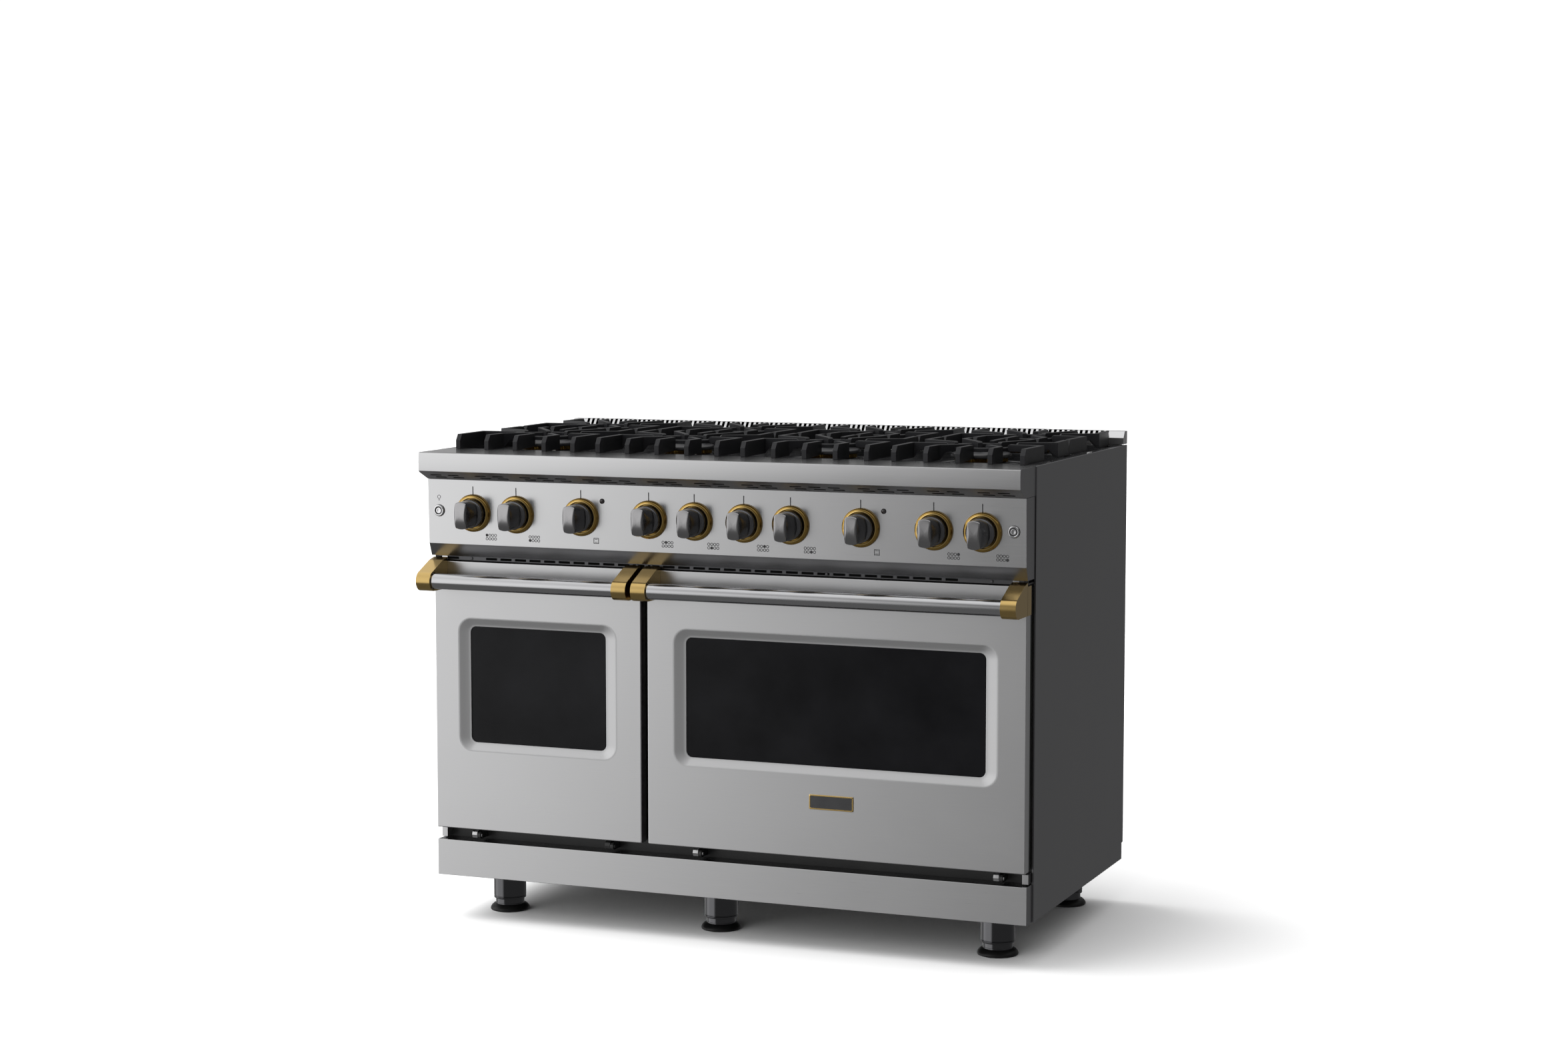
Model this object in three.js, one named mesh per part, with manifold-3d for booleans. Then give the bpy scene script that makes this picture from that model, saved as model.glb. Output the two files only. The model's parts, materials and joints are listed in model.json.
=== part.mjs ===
// Freestanding gas range, 48 inches wide, with two ovens and eight surface burners.
// Millimetres, +Z up. The doors face -Y. The origin is on the floor, under the middle of the
// range's bounding box. "Depth" below means the distance forward from the rear of the side panels.

import * as THREE from 'three';
import { mergeVertices } from 'three/addons/utils/BufferGeometryUtils.js';
import Module from 'manifold-3d';

const wasm = await Module();
wasm.setup();

// ---------------------------------------------------------------- driving dimensions

const OVERALL_DEPTH = 730;
const SIDE_X = 608;
const SIDE_THICK = 4;
const SIDE_FRONT = 617.5;
const SIDE_BOTTOM = 87;
const REAR_NOTCH = { deep: 9, top: 120 };
const TOP_Z = 926;
const CLEAR = 0.5;
const INNER_X = SIDE_X - SIDE_THICK - CLEAR;
const GAP = 0.3;
// How far a cutting tool runs on past the face that it cuts.
const OVER = 5;

const LEDGE = { x: 606, front: 710.8, bulge: 711.8, rear: 585, bottom: 887, underside: 872.2, roll: 3,
  underfold: 20, sheet: 2.5 };
const PANEL = { x: 606, topDepth: 673.6, topZ: 871.6, footDepth: 670.4, footZ: 746.4,
  lipDepth: 660.9, lipZ: 721.8, rear: 622, underfold: 15, sheet: 2.5 };
const KICK = { x: 605, front: 650.9, rear: 614, bottom: 87.7, top: 158.5, sheet: 3 };
const PAN = { front: 584.5, rear: 30, floorTop: 914, floor: 3, rim: 11, seamRib: 20 };
const TRIM = { topZ: 954, bottomZ: 928, noseZ: 941, topDepth: 18, noseDepth: 28, flangeRear: 8,
  flangeFront: 26, flangeInset: 4, flangeDrop: 14 };

const FRAME = { rear: 603, front: 613, bottom: 94, top: 722 };
const BASE = { bottom: 88, top: 94, rear: 20 };
const VENT = { shelfFront: 650, shelfTop: 716, lipRear: 648, lipFront: 651, bottom: 713, top: 721.3 };
const CORNER = { wide: 12, front: 636, bottom: 161, top: 179 };
const BACK = { rear: 1, front: 4 };
const INLET = { x: 470, z: 150, radius: 11, room: 4 };

const DOOR = { front: 655.6, skinRear: 633.5, rear: 619.5, bottom: 183.3, top: 711, sheet: 3 };
const DOOR_SPANS = {
  left: { x0: -603, x1: -162, window: [-528, 356, -238, 584], hinges: [-526, -239] },
  right: { x0: -148.4, x1: 603, window: [-70, 356, 525, 585], hinges: [-54, 545] },
};
const BEZEL = { sideMargin: 22.5, endMargin: 15.5, drop: 5, outerRadius: 27, innerRadius: 12,
  backingSide: 26, backingEnd: 19 };
const LINER = { inset: 1.5, sheet: 2.5, spacer: 14, opening: 4 };
const GLASS = { front: 648.2, thick: 4, lap: 6 };

const HINGE = { depth: 640, z: 170, boss: 7, pin: 4, hole: 4.8, tab: 11, lug: 6, root: 200, flat: 5 };
const HANDLE = { depth: 710.5, z: 677, bar: 15.3, socket: 15.9, socketDeep: 22, nose: 19.5, width: 29.6,
  top: 718, shoulder: [675, 713.6], overhang: 1.5, flange: 1.2, flangeRear: 634 };

const OVEN = { rear: 115, front: 612.5, bottom: 250, top: 660, wall: 5 };
const OVENS = {
  left: { centre: -383, width: 315, rackHeights: [430] },
  right: { centre: 227.5, width: 640, rackHeights: [400, 520] },
};
const RACK = { rear: 121, front: 592, rod: 4, edge: 7, sideGap: 8, ledge: 12, ledgeThick: 4, lift: 1.5,
  pitch: 58 };

const KNOB_X = [-508.4, -415.6, -278, -136.4, -42.8, 57.7, 151.1, 289.4, 430.6, 523.5];
const KNOB = { z: 808, radius: 27.5, base: 20, reach: 56.5, grip: 25, start: 1.2, sides: 20 };
const STEM = { radius: 4, hole: 4.7, clearance: 7.5, tip: 18, tail: 20 };
const BUTTON = { x: 582.5, z: 810.7, radius: 11.2, hole: 11.8, proud: 3.6, flange: 14, flangeBack: -8,
  flangeFront: -5 };
// Half the length of a tool that cuts a hole through the panel's sheet.
const THROUGH = 9;
const PIPE = { depth: 640, radius: 10, x: 560, feedInset: 20, rearDepth: 32, sides: 6 };
const VALVE = { halfWidth: 13, halfHeight: 14, behind: 14, ahead: 18 };

const FOOT = { sleeve: 32, bore: 29.5, sleeveBottom: 24, sleeveTop: 93, tube: 28.3, tubeTop: 80, pad: 39,
  padEdge: 4, padTop: 12, padFlare: 5 };
const FEET = { front_left: [-511, 526], front_centre: [-52, 526], front_right: [511, 526],
  rear_left: [-511, 71], rear_right: [511, 71] };

const COLUMN_X = [-452.3, -150.8, 150.8, 452.3];
const ROWS = { front: 463, rear: 179 };
const GRATE = { bar: 9.5, half: 141.5, reach: 140, bottom: TOP_Z + GAP, top: 955, toe: 943, lean: 8,
  fingerBottom: 941.5 };
const GRATE_RING = { inner: 62, outer: 70, bottom: 942.5, top: 950 };
const BURNER = { hole: 22, neck: 20, tail: 20, head: 48, cap: 58, capBottom: 928.5, capTop: 937.5 };

// ---------------------------------------------------------------- materials

const finish = (color, roughness, metalness) => new THREE.MeshStandardMaterial({
  color, roughness, metalness });
const STEEL = finish(0xb4b5b7, 0.32, 1);
const DARK_STEEL = finish(0x4c4d50, 0.4, 1);
const BRASS = finish(0xb08a3e, 0.35, 1);
const IRON = finish(0x161617, 0.6, 0.2);
const BLACK = finish(0x101011, 0.45, 0.1);
const ENAMEL = finish(0x202a33, 0.3, 0);
const GLASS_BLACK = finish(0x0b0b0c, 0.05, 0);
const KNOB_METAL = finish(0x55565a, 0.28, 1);
const CHROME = finish(0x9a9b9e, 0.15, 1);

// ---------------------------------------------------------------- geometry helpers

const yAt = (depth) => OVERALL_DEPTH / 2 - depth;

function solidOf(geometry) {
  const bare = geometry.clone();
  bare.deleteAttribute('normal');
  bare.deleteAttribute('uv');
  const welded = mergeVertices(bare, 1e-4);
  const corners = welded.index.array;
  const triangles = [];
  for (let i = 0; i < corners.length; i += 3) {
    const [a, b, c] = corners.slice(i, i + 3);
    if (a !== b && b !== c && c !== a) {
      triangles.push(a, b, c);
    }
  }
  return new wasm.Manifold(new wasm.Mesh({
    numProp: 3,
    vertProperties: new Float32Array(welded.attributes.position.array),
    triVerts: new Uint32Array(triangles),
  }));
}

function geometryOf(solid) {
  const mesh = solid.getMesh();
  const geometry = new THREE.BufferGeometry();
  geometry.setAttribute('position', new THREE.BufferAttribute(mesh.vertProperties, 3));
  geometry.setIndex(new THREE.BufferAttribute(mesh.triVerts, 1));
  return geometry;
}

const joined = (solids) => solids.reduce((sum, next) => sum.add(next));
const cut = (solid, tools) => tools.reduce((rest, tool) => rest.subtract(tool), solid);

// A block between two x values, two depths and two heights.
function block(x0, x1, rear, front, z0, z1) {
  const geometry = new THREE.BoxGeometry(x1 - x0, front - rear, z1 - z0);
  geometry.translate((x0 + x1) / 2, yAt((rear + front) / 2), (z0 + z1) / 2);
  return solidOf(geometry);
}

// A side profile of [depth, z] points, carried along X.
function alongX(profile, x0, x1) {
  const shape = new THREE.Shape(profile.map(([depth, z]) => new THREE.Vector2(yAt(depth), z)));
  const geometry = new THREE.ExtrudeGeometry(shape, { depth: x1 - x0, bevelEnabled: false });
  const turn = new THREE.Matrix4().makeBasis(
    new THREE.Vector3(0, 1, 0), new THREE.Vector3(0, 0, 1), new THREE.Vector3(1, 0, 0));
  geometry.applyMatrix4(turn);
  geometry.translate(x0, 0, 0);
  return solidOf(geometry);
}

// A plan outline of [x, y] points, carried up from z0 to z1.
function upward(outline, z0, z1) {
  const shape = new THREE.Shape(outline.map(([x, y]) => new THREE.Vector2(x, y)));
  const geometry = new THREE.ExtrudeGeometry(shape, { depth: z1 - z0, bevelEnabled: false });
  geometry.translate(0, 0, z0);
  return solidOf(geometry);
}

// A round rod along an axis letter, about a centre at [x, depth, z].
function rod(radius, length, axis, [x, depth, z], sides = 20) {
  const geometry = new THREE.CylinderGeometry(radius, radius, length, sides);
  if (axis === 'x') {
    geometry.rotateZ(-Math.PI / 2);
  }
  if (axis === 'z') {
    geometry.rotateX(Math.PI / 2);
  }
  geometry.translate(x, yAt(depth), z);
  return solidOf(geometry);
}

// A turned body about Z from [radius, z] points that start and end on the axis.
function turned(profile, sides) {
  const points = profile.map(([r, z]) => new THREE.Vector2(r, z));
  const geometry = new THREE.LatheGeometry(points, sides);
  geometry.rotateX(Math.PI / 2);
  return solidOf(geometry);
}

// The corner points of a rectangle with round corners, counter-clockwise from the front.
function roundedRectangle(x0, z0, x1, z1, radius, steps = 4) {
  const points = [];
  const centres = [[x1 - radius, z1 - radius], [x0 + radius, z1 - radius],
    [x0 + radius, z0 + radius], [x1 - radius, z0 + radius]];
  centres.forEach(([cx, cz], quarter) => {
    for (let i = 0; i <= steps; i += 1) {
      const angle = (quarter + i / steps) * Math.PI / 2;
      points.push([cx + radius * Math.cos(angle), cz + radius * Math.sin(angle)]);
    }
  });
  return points;
}

// A solid between two matching [x, z] outlines at two depths, the first one further forward.
function frustum(frontOutline, front, rearOutline, rear) {
  const count = frontOutline.length;
  const positions = [];
  for (const [x, z] of frontOutline) {
    positions.push(x, yAt(front), z);
  }
  for (const [x, z] of rearOutline) {
    positions.push(x, yAt(rear), z);
  }
  const flat = frontOutline.map(([x, z]) => new THREE.Vector2(x, z));
  const faces = [];
  for (const [a, b, c] of THREE.ShapeUtils.triangulateShape(flat, [])) {
    faces.push(a, b, c, count + c, count + b, count + a);
  }
  for (let i = 0; i < count; i += 1) {
    const next = (i + 1) % count;
    faces.push(i, count + i, count + next, i, count + next, next);
  }
  const geometry = new THREE.BufferGeometry();
  geometry.setAttribute('position', new THREE.Float32BufferAttribute(positions, 3));
  geometry.setIndex(faces);
  return solidOf(geometry);
}

const range = new THREE.Group();

function place(name, solid, material, position = [0, 0, 0], parent = range) {
  const mesh = new THREE.Mesh(geometryOf(solid), material);
  mesh.name = name;
  mesh.position.set(...position);
  parent.add(mesh);
  return mesh;
}

// ---------------------------------------------------------------- chassis, feet and casing

const hingeLugs = [];
const hingeHoles = [];
for (const { hinges } of Object.values(DOOR_SPANS)) {
  for (const x of hinges) {
    const lugX = x + HINGE.tab / 2 + 0.5;
    const centre = [lugX + HINGE.lug / 2, HINGE.depth, HINGE.z];
    hingeLugs.push(rod(HINGE.boss, HINGE.lug, 'x', centre, 12));
    hingeLugs.push(block(lugX, lugX + HINGE.lug, FRAME.rear, HINGE.depth,
      HINGE.z - HINGE.boss, HINGE.z + HINGE.boss));
    hingeHoles.push(rod(HINGE.hole, 3 * HINGE.lug, 'x', centre, 12));
  }
}

function sleeve([x, depth]) {
  const { sleeve: radius, sleeveBottom, sleeveTop } = FOOT;
  return rod(radius, sleeveTop - sleeveBottom, 'z', [x, depth, (sleeveBottom + sleeveTop) / 2]);
}

function sleeveBore([x, depth]) {
  const height = BASE.bottom - FOOT.sleeveBottom;
  return rod(FOOT.bore, 2 * height, 'z', [x, depth, FOOT.sleeveBottom]);
}

function buildChassis() {
  const base = block(-INNER_X, INNER_X, BASE.rear, FRAME.front, BASE.bottom, BASE.top);
  const face = block(-INNER_X, INNER_X, FRAME.rear, FRAME.front, BASE.bottom, FRAME.top);
  const ventShelf = block(-INNER_X, INNER_X, FRAME.rear, VENT.shelfFront, VENT.bottom, VENT.shelfTop);
  const ventLip = block(-INNER_X, INNER_X, VENT.lipRear, VENT.lipFront, VENT.bottom, VENT.top);
  const corners = [-1, 1].map((side) => {
    const edges = [side * INNER_X, side * (INNER_X - CORNER.wide)].sort((a, b) => a - b);
    return block(...edges, FRAME.rear, CORNER.front, CORNER.bottom, CORNER.top);
  });
  const openings = Object.values(OVENS).map(({ centre, width }) => {
    const room = OVEN.wall + CLEAR;
    return block(centre - width / 2 - room, centre + width / 2 + room, FRAME.rear - OVER,
      FRAME.front + OVER, OVEN.bottom - room, OVEN.top + room);
  });
  const sleeves = Object.values(FEET).map(sleeve);
  const bores = Object.values(FEET).map(sleeveBore);
  const whole = joined([base, face, ventShelf, ventLip, ...corners, ...sleeves, ...hingeLugs]);
  return cut(whole, [...openings, ...bores, ...hingeHoles]);
}

place('chassis', buildChassis(), BLACK);

function sidePanel(side) {
  const edges = [side * SIDE_X, side * (SIDE_X - SIDE_THICK)].sort((a, b) => a - b);
  const sheet = block(...edges, 0, SIDE_FRONT, SIDE_BOTTOM, TOP_Z);
  const notch = block(edges[0] - OVER, edges[1] + OVER, -OVER, REAR_NOTCH.deep, SIDE_BOTTOM - OVER,
    REAR_NOTCH.top);
  return sheet.subtract(notch);
}

place('left_side_panel', sidePanel(-1), DARK_STEEL);
place('right_side_panel', sidePanel(1), DARK_STEEL);

// The room that the side panels need in a piece that reaches out in front of them.
function sideClearances(z0, z1) {
  return [[-SIDE_X - OVER, -INNER_X], [INNER_X, SIDE_X + OVER]].map(
    ([x0, x1]) => block(x0, x1, -OVER, SIDE_FRONT + GAP, z0 - OVER, z1 + OVER));
}

function buildBackPanel() {
  const sheet = block(-INNER_X, INNER_X, BACK.rear, BACK.front, BASE.top + CLEAR, TOP_Z - CLEAR);
  const gasHole = rod(INLET.radius + INLET.room, 4 * OVER, 'y', [INLET.x, BACK.rear, INLET.z], 16);
  return sheet.subtract(gasHole);
}

place('back_panel', buildBackPanel(), DARK_STEEL);

function buildFoot() {
  const { pad, padEdge, padTop, padFlare, tube, tubeTop } = FOOT;
  return turned([[0, 0], [pad, 0], [pad, padEdge], [pad - padFlare, padTop], [tube, padTop],
    [tube, tubeTop], [0, tubeTop]], 16);
}

for (const [name, [x, depth]] of Object.entries(FEET)) {
  place(`${name}_foot`, buildFoot(), CHROME, [x, yAt(depth), 0]);
}

function buildKickPanel() {
  const outer = block(-KICK.x, KICK.x, KICK.rear, KICK.front, KICK.bottom, KICK.top);
  const inner = block(-INNER_X + KICK.sheet, INNER_X - KICK.sheet, KICK.rear - OVER,
    KICK.front - KICK.sheet, KICK.bottom - OVER, KICK.top - KICK.sheet);
  return cut(outer, [inner, ...sideClearances(KICK.bottom, KICK.top)]);
}

place('kick_panel', buildKickPanel(), STEEL);

// ---------------------------------------------------------------- top: ledge, pan and rear trim

// A bent sheet: the top, a rolled front edge, a slightly bulged face, and an underside that
// slopes back to the panel's top and folds under behind it.
function buildLedge() {
  const { front, bulge, rear, bottom, underside, roll, underfold, sheet, x } = LEDGE;
  const middle = (TOP_Z + bottom) / 2;
  const slopeEnd = PANEL.topDepth + 1;
  const outer = [[rear, TOP_Z], [front - roll, TOP_Z], [front - roll / 6, TOP_Z - 0.4 * roll],
    [front + 0.4, TOP_Z - 4], [bulge, middle], [front, bottom + roll], [front - roll, bottom],
    [slopeEnd, underside], [rear, underside]];
  const inner = [[rear - OVER, TOP_Z - sheet], [front - roll, TOP_Z - sheet], [bulge - sheet, middle],
    [front - roll - 1, bottom + sheet], [slopeEnd, underside + sheet],
    [rear + underfold, underside + sheet], [rear + underfold, underside - OVER],
    [rear - OVER, underside - OVER]];
  const shell = alongX(outer, -x, x).subtract(alongX(inner, -INNER_X + sheet, INNER_X - sheet));
  return cut(shell, sideClearances(PANEL.topZ, TOP_Z));
}

place('landing_ledge', buildLedge(), STEEL);

function buildPan() {
  const wall = PAN.rim;
  const tray = block(-INNER_X, INNER_X, PAN.rear, PAN.front, PAN.floorTop - PAN.floor, TOP_Z);
  const seam = (ROWS.front + ROWS.rear) / 2;
  const half = PAN.seamRib / 2;
  const wells = [[PAN.rear + wall, seam - half], [seam + half, PAN.front - wall]].map(
    ([rear, front]) => block(-INNER_X + wall, INNER_X - wall, rear, front, PAN.floorTop, TOP_Z + OVER));
  const holes = COLUMN_X.flatMap((x) => Object.values(ROWS).map(
    (depth) => rod(BURNER.hole, 4 * OVER, 'z', [x, depth, PAN.floorTop], 16)));
  return cut(tray, [...wells, ...holes]);
}

place('cooktop_pan', buildPan(), DARK_STEEL);

function buildTrim() {
  const { topZ, bottomZ, noseZ, topDepth, noseDepth, flangeRear, flangeFront, flangeInset } = TRIM;
  const hood = alongX([[0, bottomZ], [noseDepth, bottomZ], [noseDepth, noseZ], [topDepth, topZ],
    [0, topZ]], -SIDE_X, SIDE_X);
  const flange = block(-INNER_X + flangeInset, INNER_X - flangeInset, flangeRear, flangeFront,
    bottomZ - TRIM.flangeDrop, bottomZ + 1);
  return hood.add(flange);
}

place('island_trim', buildTrim(), STEEL);

// ---------------------------------------------------------------- control panel

const panelTilt = Math.atan2(PANEL.topDepth - PANEL.footDepth, PANEL.topZ - PANEL.footZ);
const panelDepthAt = (z) => PANEL.footDepth + (z - PANEL.footZ) * Math.tan(panelTilt);

// A rod square to the panel, from one distance in front of its face to another.
function rodThroughPanel(radius, low, high, x, z, sides) {
  const geometry = new THREE.CylinderGeometry(radius, radius, high - low, sides);
  geometry.translate(0, (low + high) / 2, 0);
  geometry.rotateX(Math.PI + panelTilt);
  geometry.translate(x, yAt(panelDepthAt(z)), z);
  return solidOf(geometry);
}

// A group whose +Z axis is the panel's outward normal at a point on its face.
function seatOnPanel(x, z) {
  const seat = new THREE.Group();
  seat.position.set(x, yAt(panelDepthAt(z)), z);
  seat.rotation.x = Math.PI / 2 + panelTilt;
  range.add(seat);
  return seat;
}

function buildControlPanel() {
  const { x, topDepth, topZ, footDepth, footZ, lipDepth, lipZ, rear, sheet } = PANEL;
  const outer = [[rear, topZ], [topDepth, topZ], [footDepth, footZ], [lipDepth, lipZ], [rear, lipZ]];
  const fold = rear + PANEL.underfold;
  const inner = [[rear - OVER, topZ - sheet], [topDepth - sheet, topZ - sheet],
    [footDepth - sheet, footZ], [lipDepth - sheet, lipZ + sheet], [fold, lipZ + sheet],
    [fold, lipZ - OVER], [rear - OVER, lipZ - OVER]];
  const shell = alongX(outer, -x, x).subtract(alongX(inner, -x + sheet, x - sheet));
  const stemHoles = KNOB_X.map(
    (knobX) => rodThroughPanel(STEM.clearance, -THROUGH, THROUGH, knobX, KNOB.z, 8));
  const buttonHoles = [-1, 1].map(
    (side) => rodThroughPanel(BUTTON.hole, -THROUGH, THROUGH, side * BUTTON.x, BUTTON.z, 16));
  return cut(shell, [...stemHoles, ...buttonHoles]);
}

place('control_panel', buildControlPanel(), STEEL);

// The round skirt carries a straight grip as tall as the skirt, and a blind hole for the stem.
function buildKnob() {
  const { radius, base, reach, grip, start, sides } = KNOB;
  const skirt = turned([[0, start], [radius, start], [radius, base - 3], [radius - 3, base], [0, base]],
    sides);
  const round = turned([[0, start], [radius - 0.5, start], [radius - 0.5, reach - 2],
    [radius - 3, reach], [0, reach]], sides);
  const halfGrip = grip / 2;
  const blade = upward([[-halfGrip, -radius], [halfGrip, -radius], [halfGrip, radius],
    [-halfGrip, radius]], start, reach + OVER);
  const hole = turned([[0, 0], [STEM.hole, 0], [STEM.hole, STEM.tip + 2], [0, STEM.tip + 2]], 8);
  return skirt.add(round.intersect(blade)).subtract(hole);
}

const KNOB_NAMES = ['burner_1', 'burner_2', 'left_oven', 'burner_3', 'burner_4', 'burner_5', 'burner_6',
  'right_oven', 'burner_7', 'burner_8'];
KNOB_X.forEach((x, index) => {
  const seat = seatOnPanel(x, KNOB.z);
  place(`${KNOB_NAMES[index]}_knob`, buildKnob(), KNOB_METAL, [0, 0, 0], seat);
});

function buildButton() {
  const { radius, proud, flange, flangeBack, flangeFront } = BUTTON;
  return turned([[0, flangeBack], [flange, flangeBack], [flange, flangeFront], [radius, flangeFront],
    [radius, proud - 1], [radius - 1, proud], [0, proud]], 16);
}

place('oven_light_button', buildButton(), CHROME, [0, 0, 0], seatOnPanel(-BUTTON.x, BUTTON.z));
place('convection_button', buildButton(), CHROME, [0, 0, 0], seatOnPanel(BUTTON.x, BUTTON.z));

// The gas rail runs behind the panel, with one valve and stem for each knob, and a feed pipe
// over the ovens and down the back to the inlet.
function buildManifold() {
  const { depth, radius, x: railEnd, feedInset, rearDepth, sides } = PIPE;
  const { halfWidth, halfHeight, behind, ahead } = VALVE;
  const feedX = railEnd - feedInset;
  const rail = rod(radius, 2 * railEnd, 'x', [0, depth, KNOB.z], sides);
  const valves = KNOB_X.map((x) => block(x - halfWidth, x + halfWidth, depth - behind, depth + ahead,
    KNOB.z - halfHeight, KNOB.z + halfHeight));
  const stems = KNOB_X.map(
    (x) => rodThroughPanel(STEM.radius, -STEM.tail, STEM.tip, x, KNOB.z, sides));
  const feed = rod(radius, depth - rearDepth + radius, 'y',
    [feedX, (depth + rearDepth - radius) / 2, KNOB.z], sides);
  const drop = rod(radius, KNOB.z - INLET.z + radius, 'z',
    [feedX, rearDepth, (KNOB.z + INLET.z) / 2], sides);
  const across = rod(radius, feedX - INLET.x + radius, 'x',
    [(feedX + INLET.x) / 2, rearDepth, INLET.z], sides);
  const inlet = rod(INLET.radius, rearDepth - CLEAR, 'y',
    [INLET.x, (rearDepth + CLEAR) / 2, INLET.z], 12);
  return joined([rail, ...valves, ...stems, feed, drop, across, inlet]);
}

place('gas_manifold', buildManifold(), DARK_STEEL);

// ---------------------------------------------------------------- ovens and racks

function buildOvenLiner({ centre, width, rackHeights }) {
  const half = width / 2;
  const wall = OVEN.wall;
  const outer = block(centre - half - wall, centre + half + wall, OVEN.rear, OVEN.front,
    OVEN.bottom - wall, OVEN.top + wall);
  const inner = block(centre - half, centre + half, OVEN.rear + wall, OVEN.front + OVER,
    OVEN.bottom, OVEN.top);
  const shell = outer.subtract(inner);
  const ledges = rackHeights.flatMap((z) => [-1, 1].map((side) => {
    const edges = [centre + side * (half + 1), centre + side * (half - RACK.ledge)];
    edges.sort((a, b) => a - b);
    return block(...edges, OVEN.rear + wall - 1, OVEN.front - RACK.ledge, z - RACK.ledgeThick, z);
  }));
  return joined([shell, ...ledges]);
}

function buildRack({ centre, width }, z) {
  const half = width / 2 - RACK.sideGap;
  const bottom = z + GAP;
  const { rear, front, rod: thin, edge, lift } = RACK;
  const frame = block(centre - half, centre + half, rear, front, bottom, bottom + edge).subtract(
    block(centre - half + edge, centre + half - edge, rear + edge, front - edge, bottom - OVER,
      bottom + edge + OVER));
  const inside = 2 * (half - edge);
  const count = Math.round(inside / RACK.pitch);
  const rods = [];
  for (let i = 1; i < count; i += 1) {
    const x = centre - half + edge + inside * i / count;
    rods.push(block(x - thin / 2, x + thin / 2, rear + 2, front - 2, bottom + lift,
      bottom + lift + thin));
  }
  const middle = (rear + front) / 2;
  const cross = block(centre - half + 2, centre + half - 2, middle - 3, middle + 3, bottom + lift / 2,
    bottom + thin);
  return joined([frame, cross, ...rods]);
}

for (const [side, oven] of Object.entries(OVENS)) {
  place(`${side}_oven_liner`, buildOvenLiner(oven), ENAMEL);
  oven.rackHeights.forEach((z, index) => {
    place(`${side}_oven_rack_${index + 1}`, buildRack(oven, z), CHROME);
  });
}

// ---------------------------------------------------------------- doors

function windowOutlines([x0, z0, x1, z1]) {
  const { sideMargin, endMargin, outerRadius, innerRadius } = BEZEL;
  return {
    glass: roundedRectangle(x0, z0, x1, z1, innerRadius),
    bezel: roundedRectangle(x0 - sideMargin, z0 - endMargin, x1 + sideMargin, z1 + endMargin,
      outerRadius),
  };
}

// The outer sheet is a pan with a window opening, and its bezel slopes in to the glass.
function buildDoorSkin({ x0, x1, window }) {
  const { front, skinRear, bottom, top, sheet } = DOOR;
  const { glass, bezel } = windowOutlines(window);
  const seat = GLASS.front + GAP;
  const outer = block(x0, x1, skinRear, front, bottom, top);
  const hollow = block(x0 + sheet, x1 - sheet, skinRear - OVER, front - sheet, bottom + sheet,
    top - sheet);
  const [wx0, wz0, wx1, wz1] = window;
  const { backingSide, backingEnd, drop } = BEZEL;
  const backing = block(wx0 - backingSide, wx1 + backingSide, seat, front - 1, wz0 - backingEnd,
    wz1 + backingEnd);
  const slope = frustum(bezel, front + 0.05, glass, front - drop);
  const opening = frustum(glass, front + OVER, glass, skinRear - OVER);
  return cut(outer.subtract(hollow).add(backing), [slope, opening]);
}

function buildDoorGlass({ window: [x0, z0, x1, z1] }) {
  return block(x0 - GLASS.lap, x1 + GLASS.lap, GLASS.front - GLASS.thick, GLASS.front,
    z0 - GLASS.lap, z1 + GLASS.lap);
}

// The inner panel closes the door's back, holds the glass and carries the hinge tabs and pins.
function buildDoorLiner({ x0, x1, window: [wx0, wz0, wx1, wz1], hinges }) {
  const front = DOOR.skinRear - GAP;
  const { inset, sheet, spacer: lap, opening: trim } = LINER;
  const deep = inset + sheet;
  const tray = block(x0 + inset, x1 - inset, DOOR.rear, front, DOOR.bottom + inset, DOOR.top - inset);
  const hollow = block(x0 + deep, x1 - deep, DOOR.rear + sheet, front + OVER, DOOR.bottom + deep,
    DOOR.top - deep);
  const spacer = block(wx0 - lap, wx1 + lap, DOOR.rear + 2, GLASS.front - GLASS.thick - GAP,
    wz0 - lap, wz1 + lap);
  const opening = block(wx0 + trim, wx1 - trim, DOOR.rear - OVER, DOOR.front, wz0 + trim, wz1 - trim);
  const { depth, z, boss, pin, tab, lug, root, flat } = HINGE;
  const tabProfile = [[DOOR.rear + 2, root], [front, root], [front, DOOR.bottom - 1],
    [depth + flat, z + boss], [depth + boss, z + 1], [depth + flat, z - flat], [depth, z - boss],
    [depth - flat, z - flat], [DOOR.rear + 2, DOOR.bottom]];
  const tabs = hinges.map((x) => alongX(tabProfile, x - tab / 2, x + tab / 2));
  const pins = hinges.map((x) => rod(pin, lug + 6, 'x', [x + tab / 2 + lug / 2, depth, z], 8));
  return joined([tray.subtract(hollow), spacer, ...tabs, ...pins]).subtract(opening);
}

// The bracket's sloping top runs down to a round nose about the bar, over a flat underside.
function bracketProfile() {
  const { depth, z, nose, top, shoulder } = HANDLE;
  const rear = DOOR.front + GAP;
  const points = [[rear, z - nose], [rear, top], shoulder];
  for (let turn = 60; turn >= -90; turn -= 15) {
    const angle = THREE.MathUtils.degToRad(turn);
    points.push([depth + nose * Math.cos(angle), z + nose * Math.sin(angle)]);
  }
  return points;
}

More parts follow.
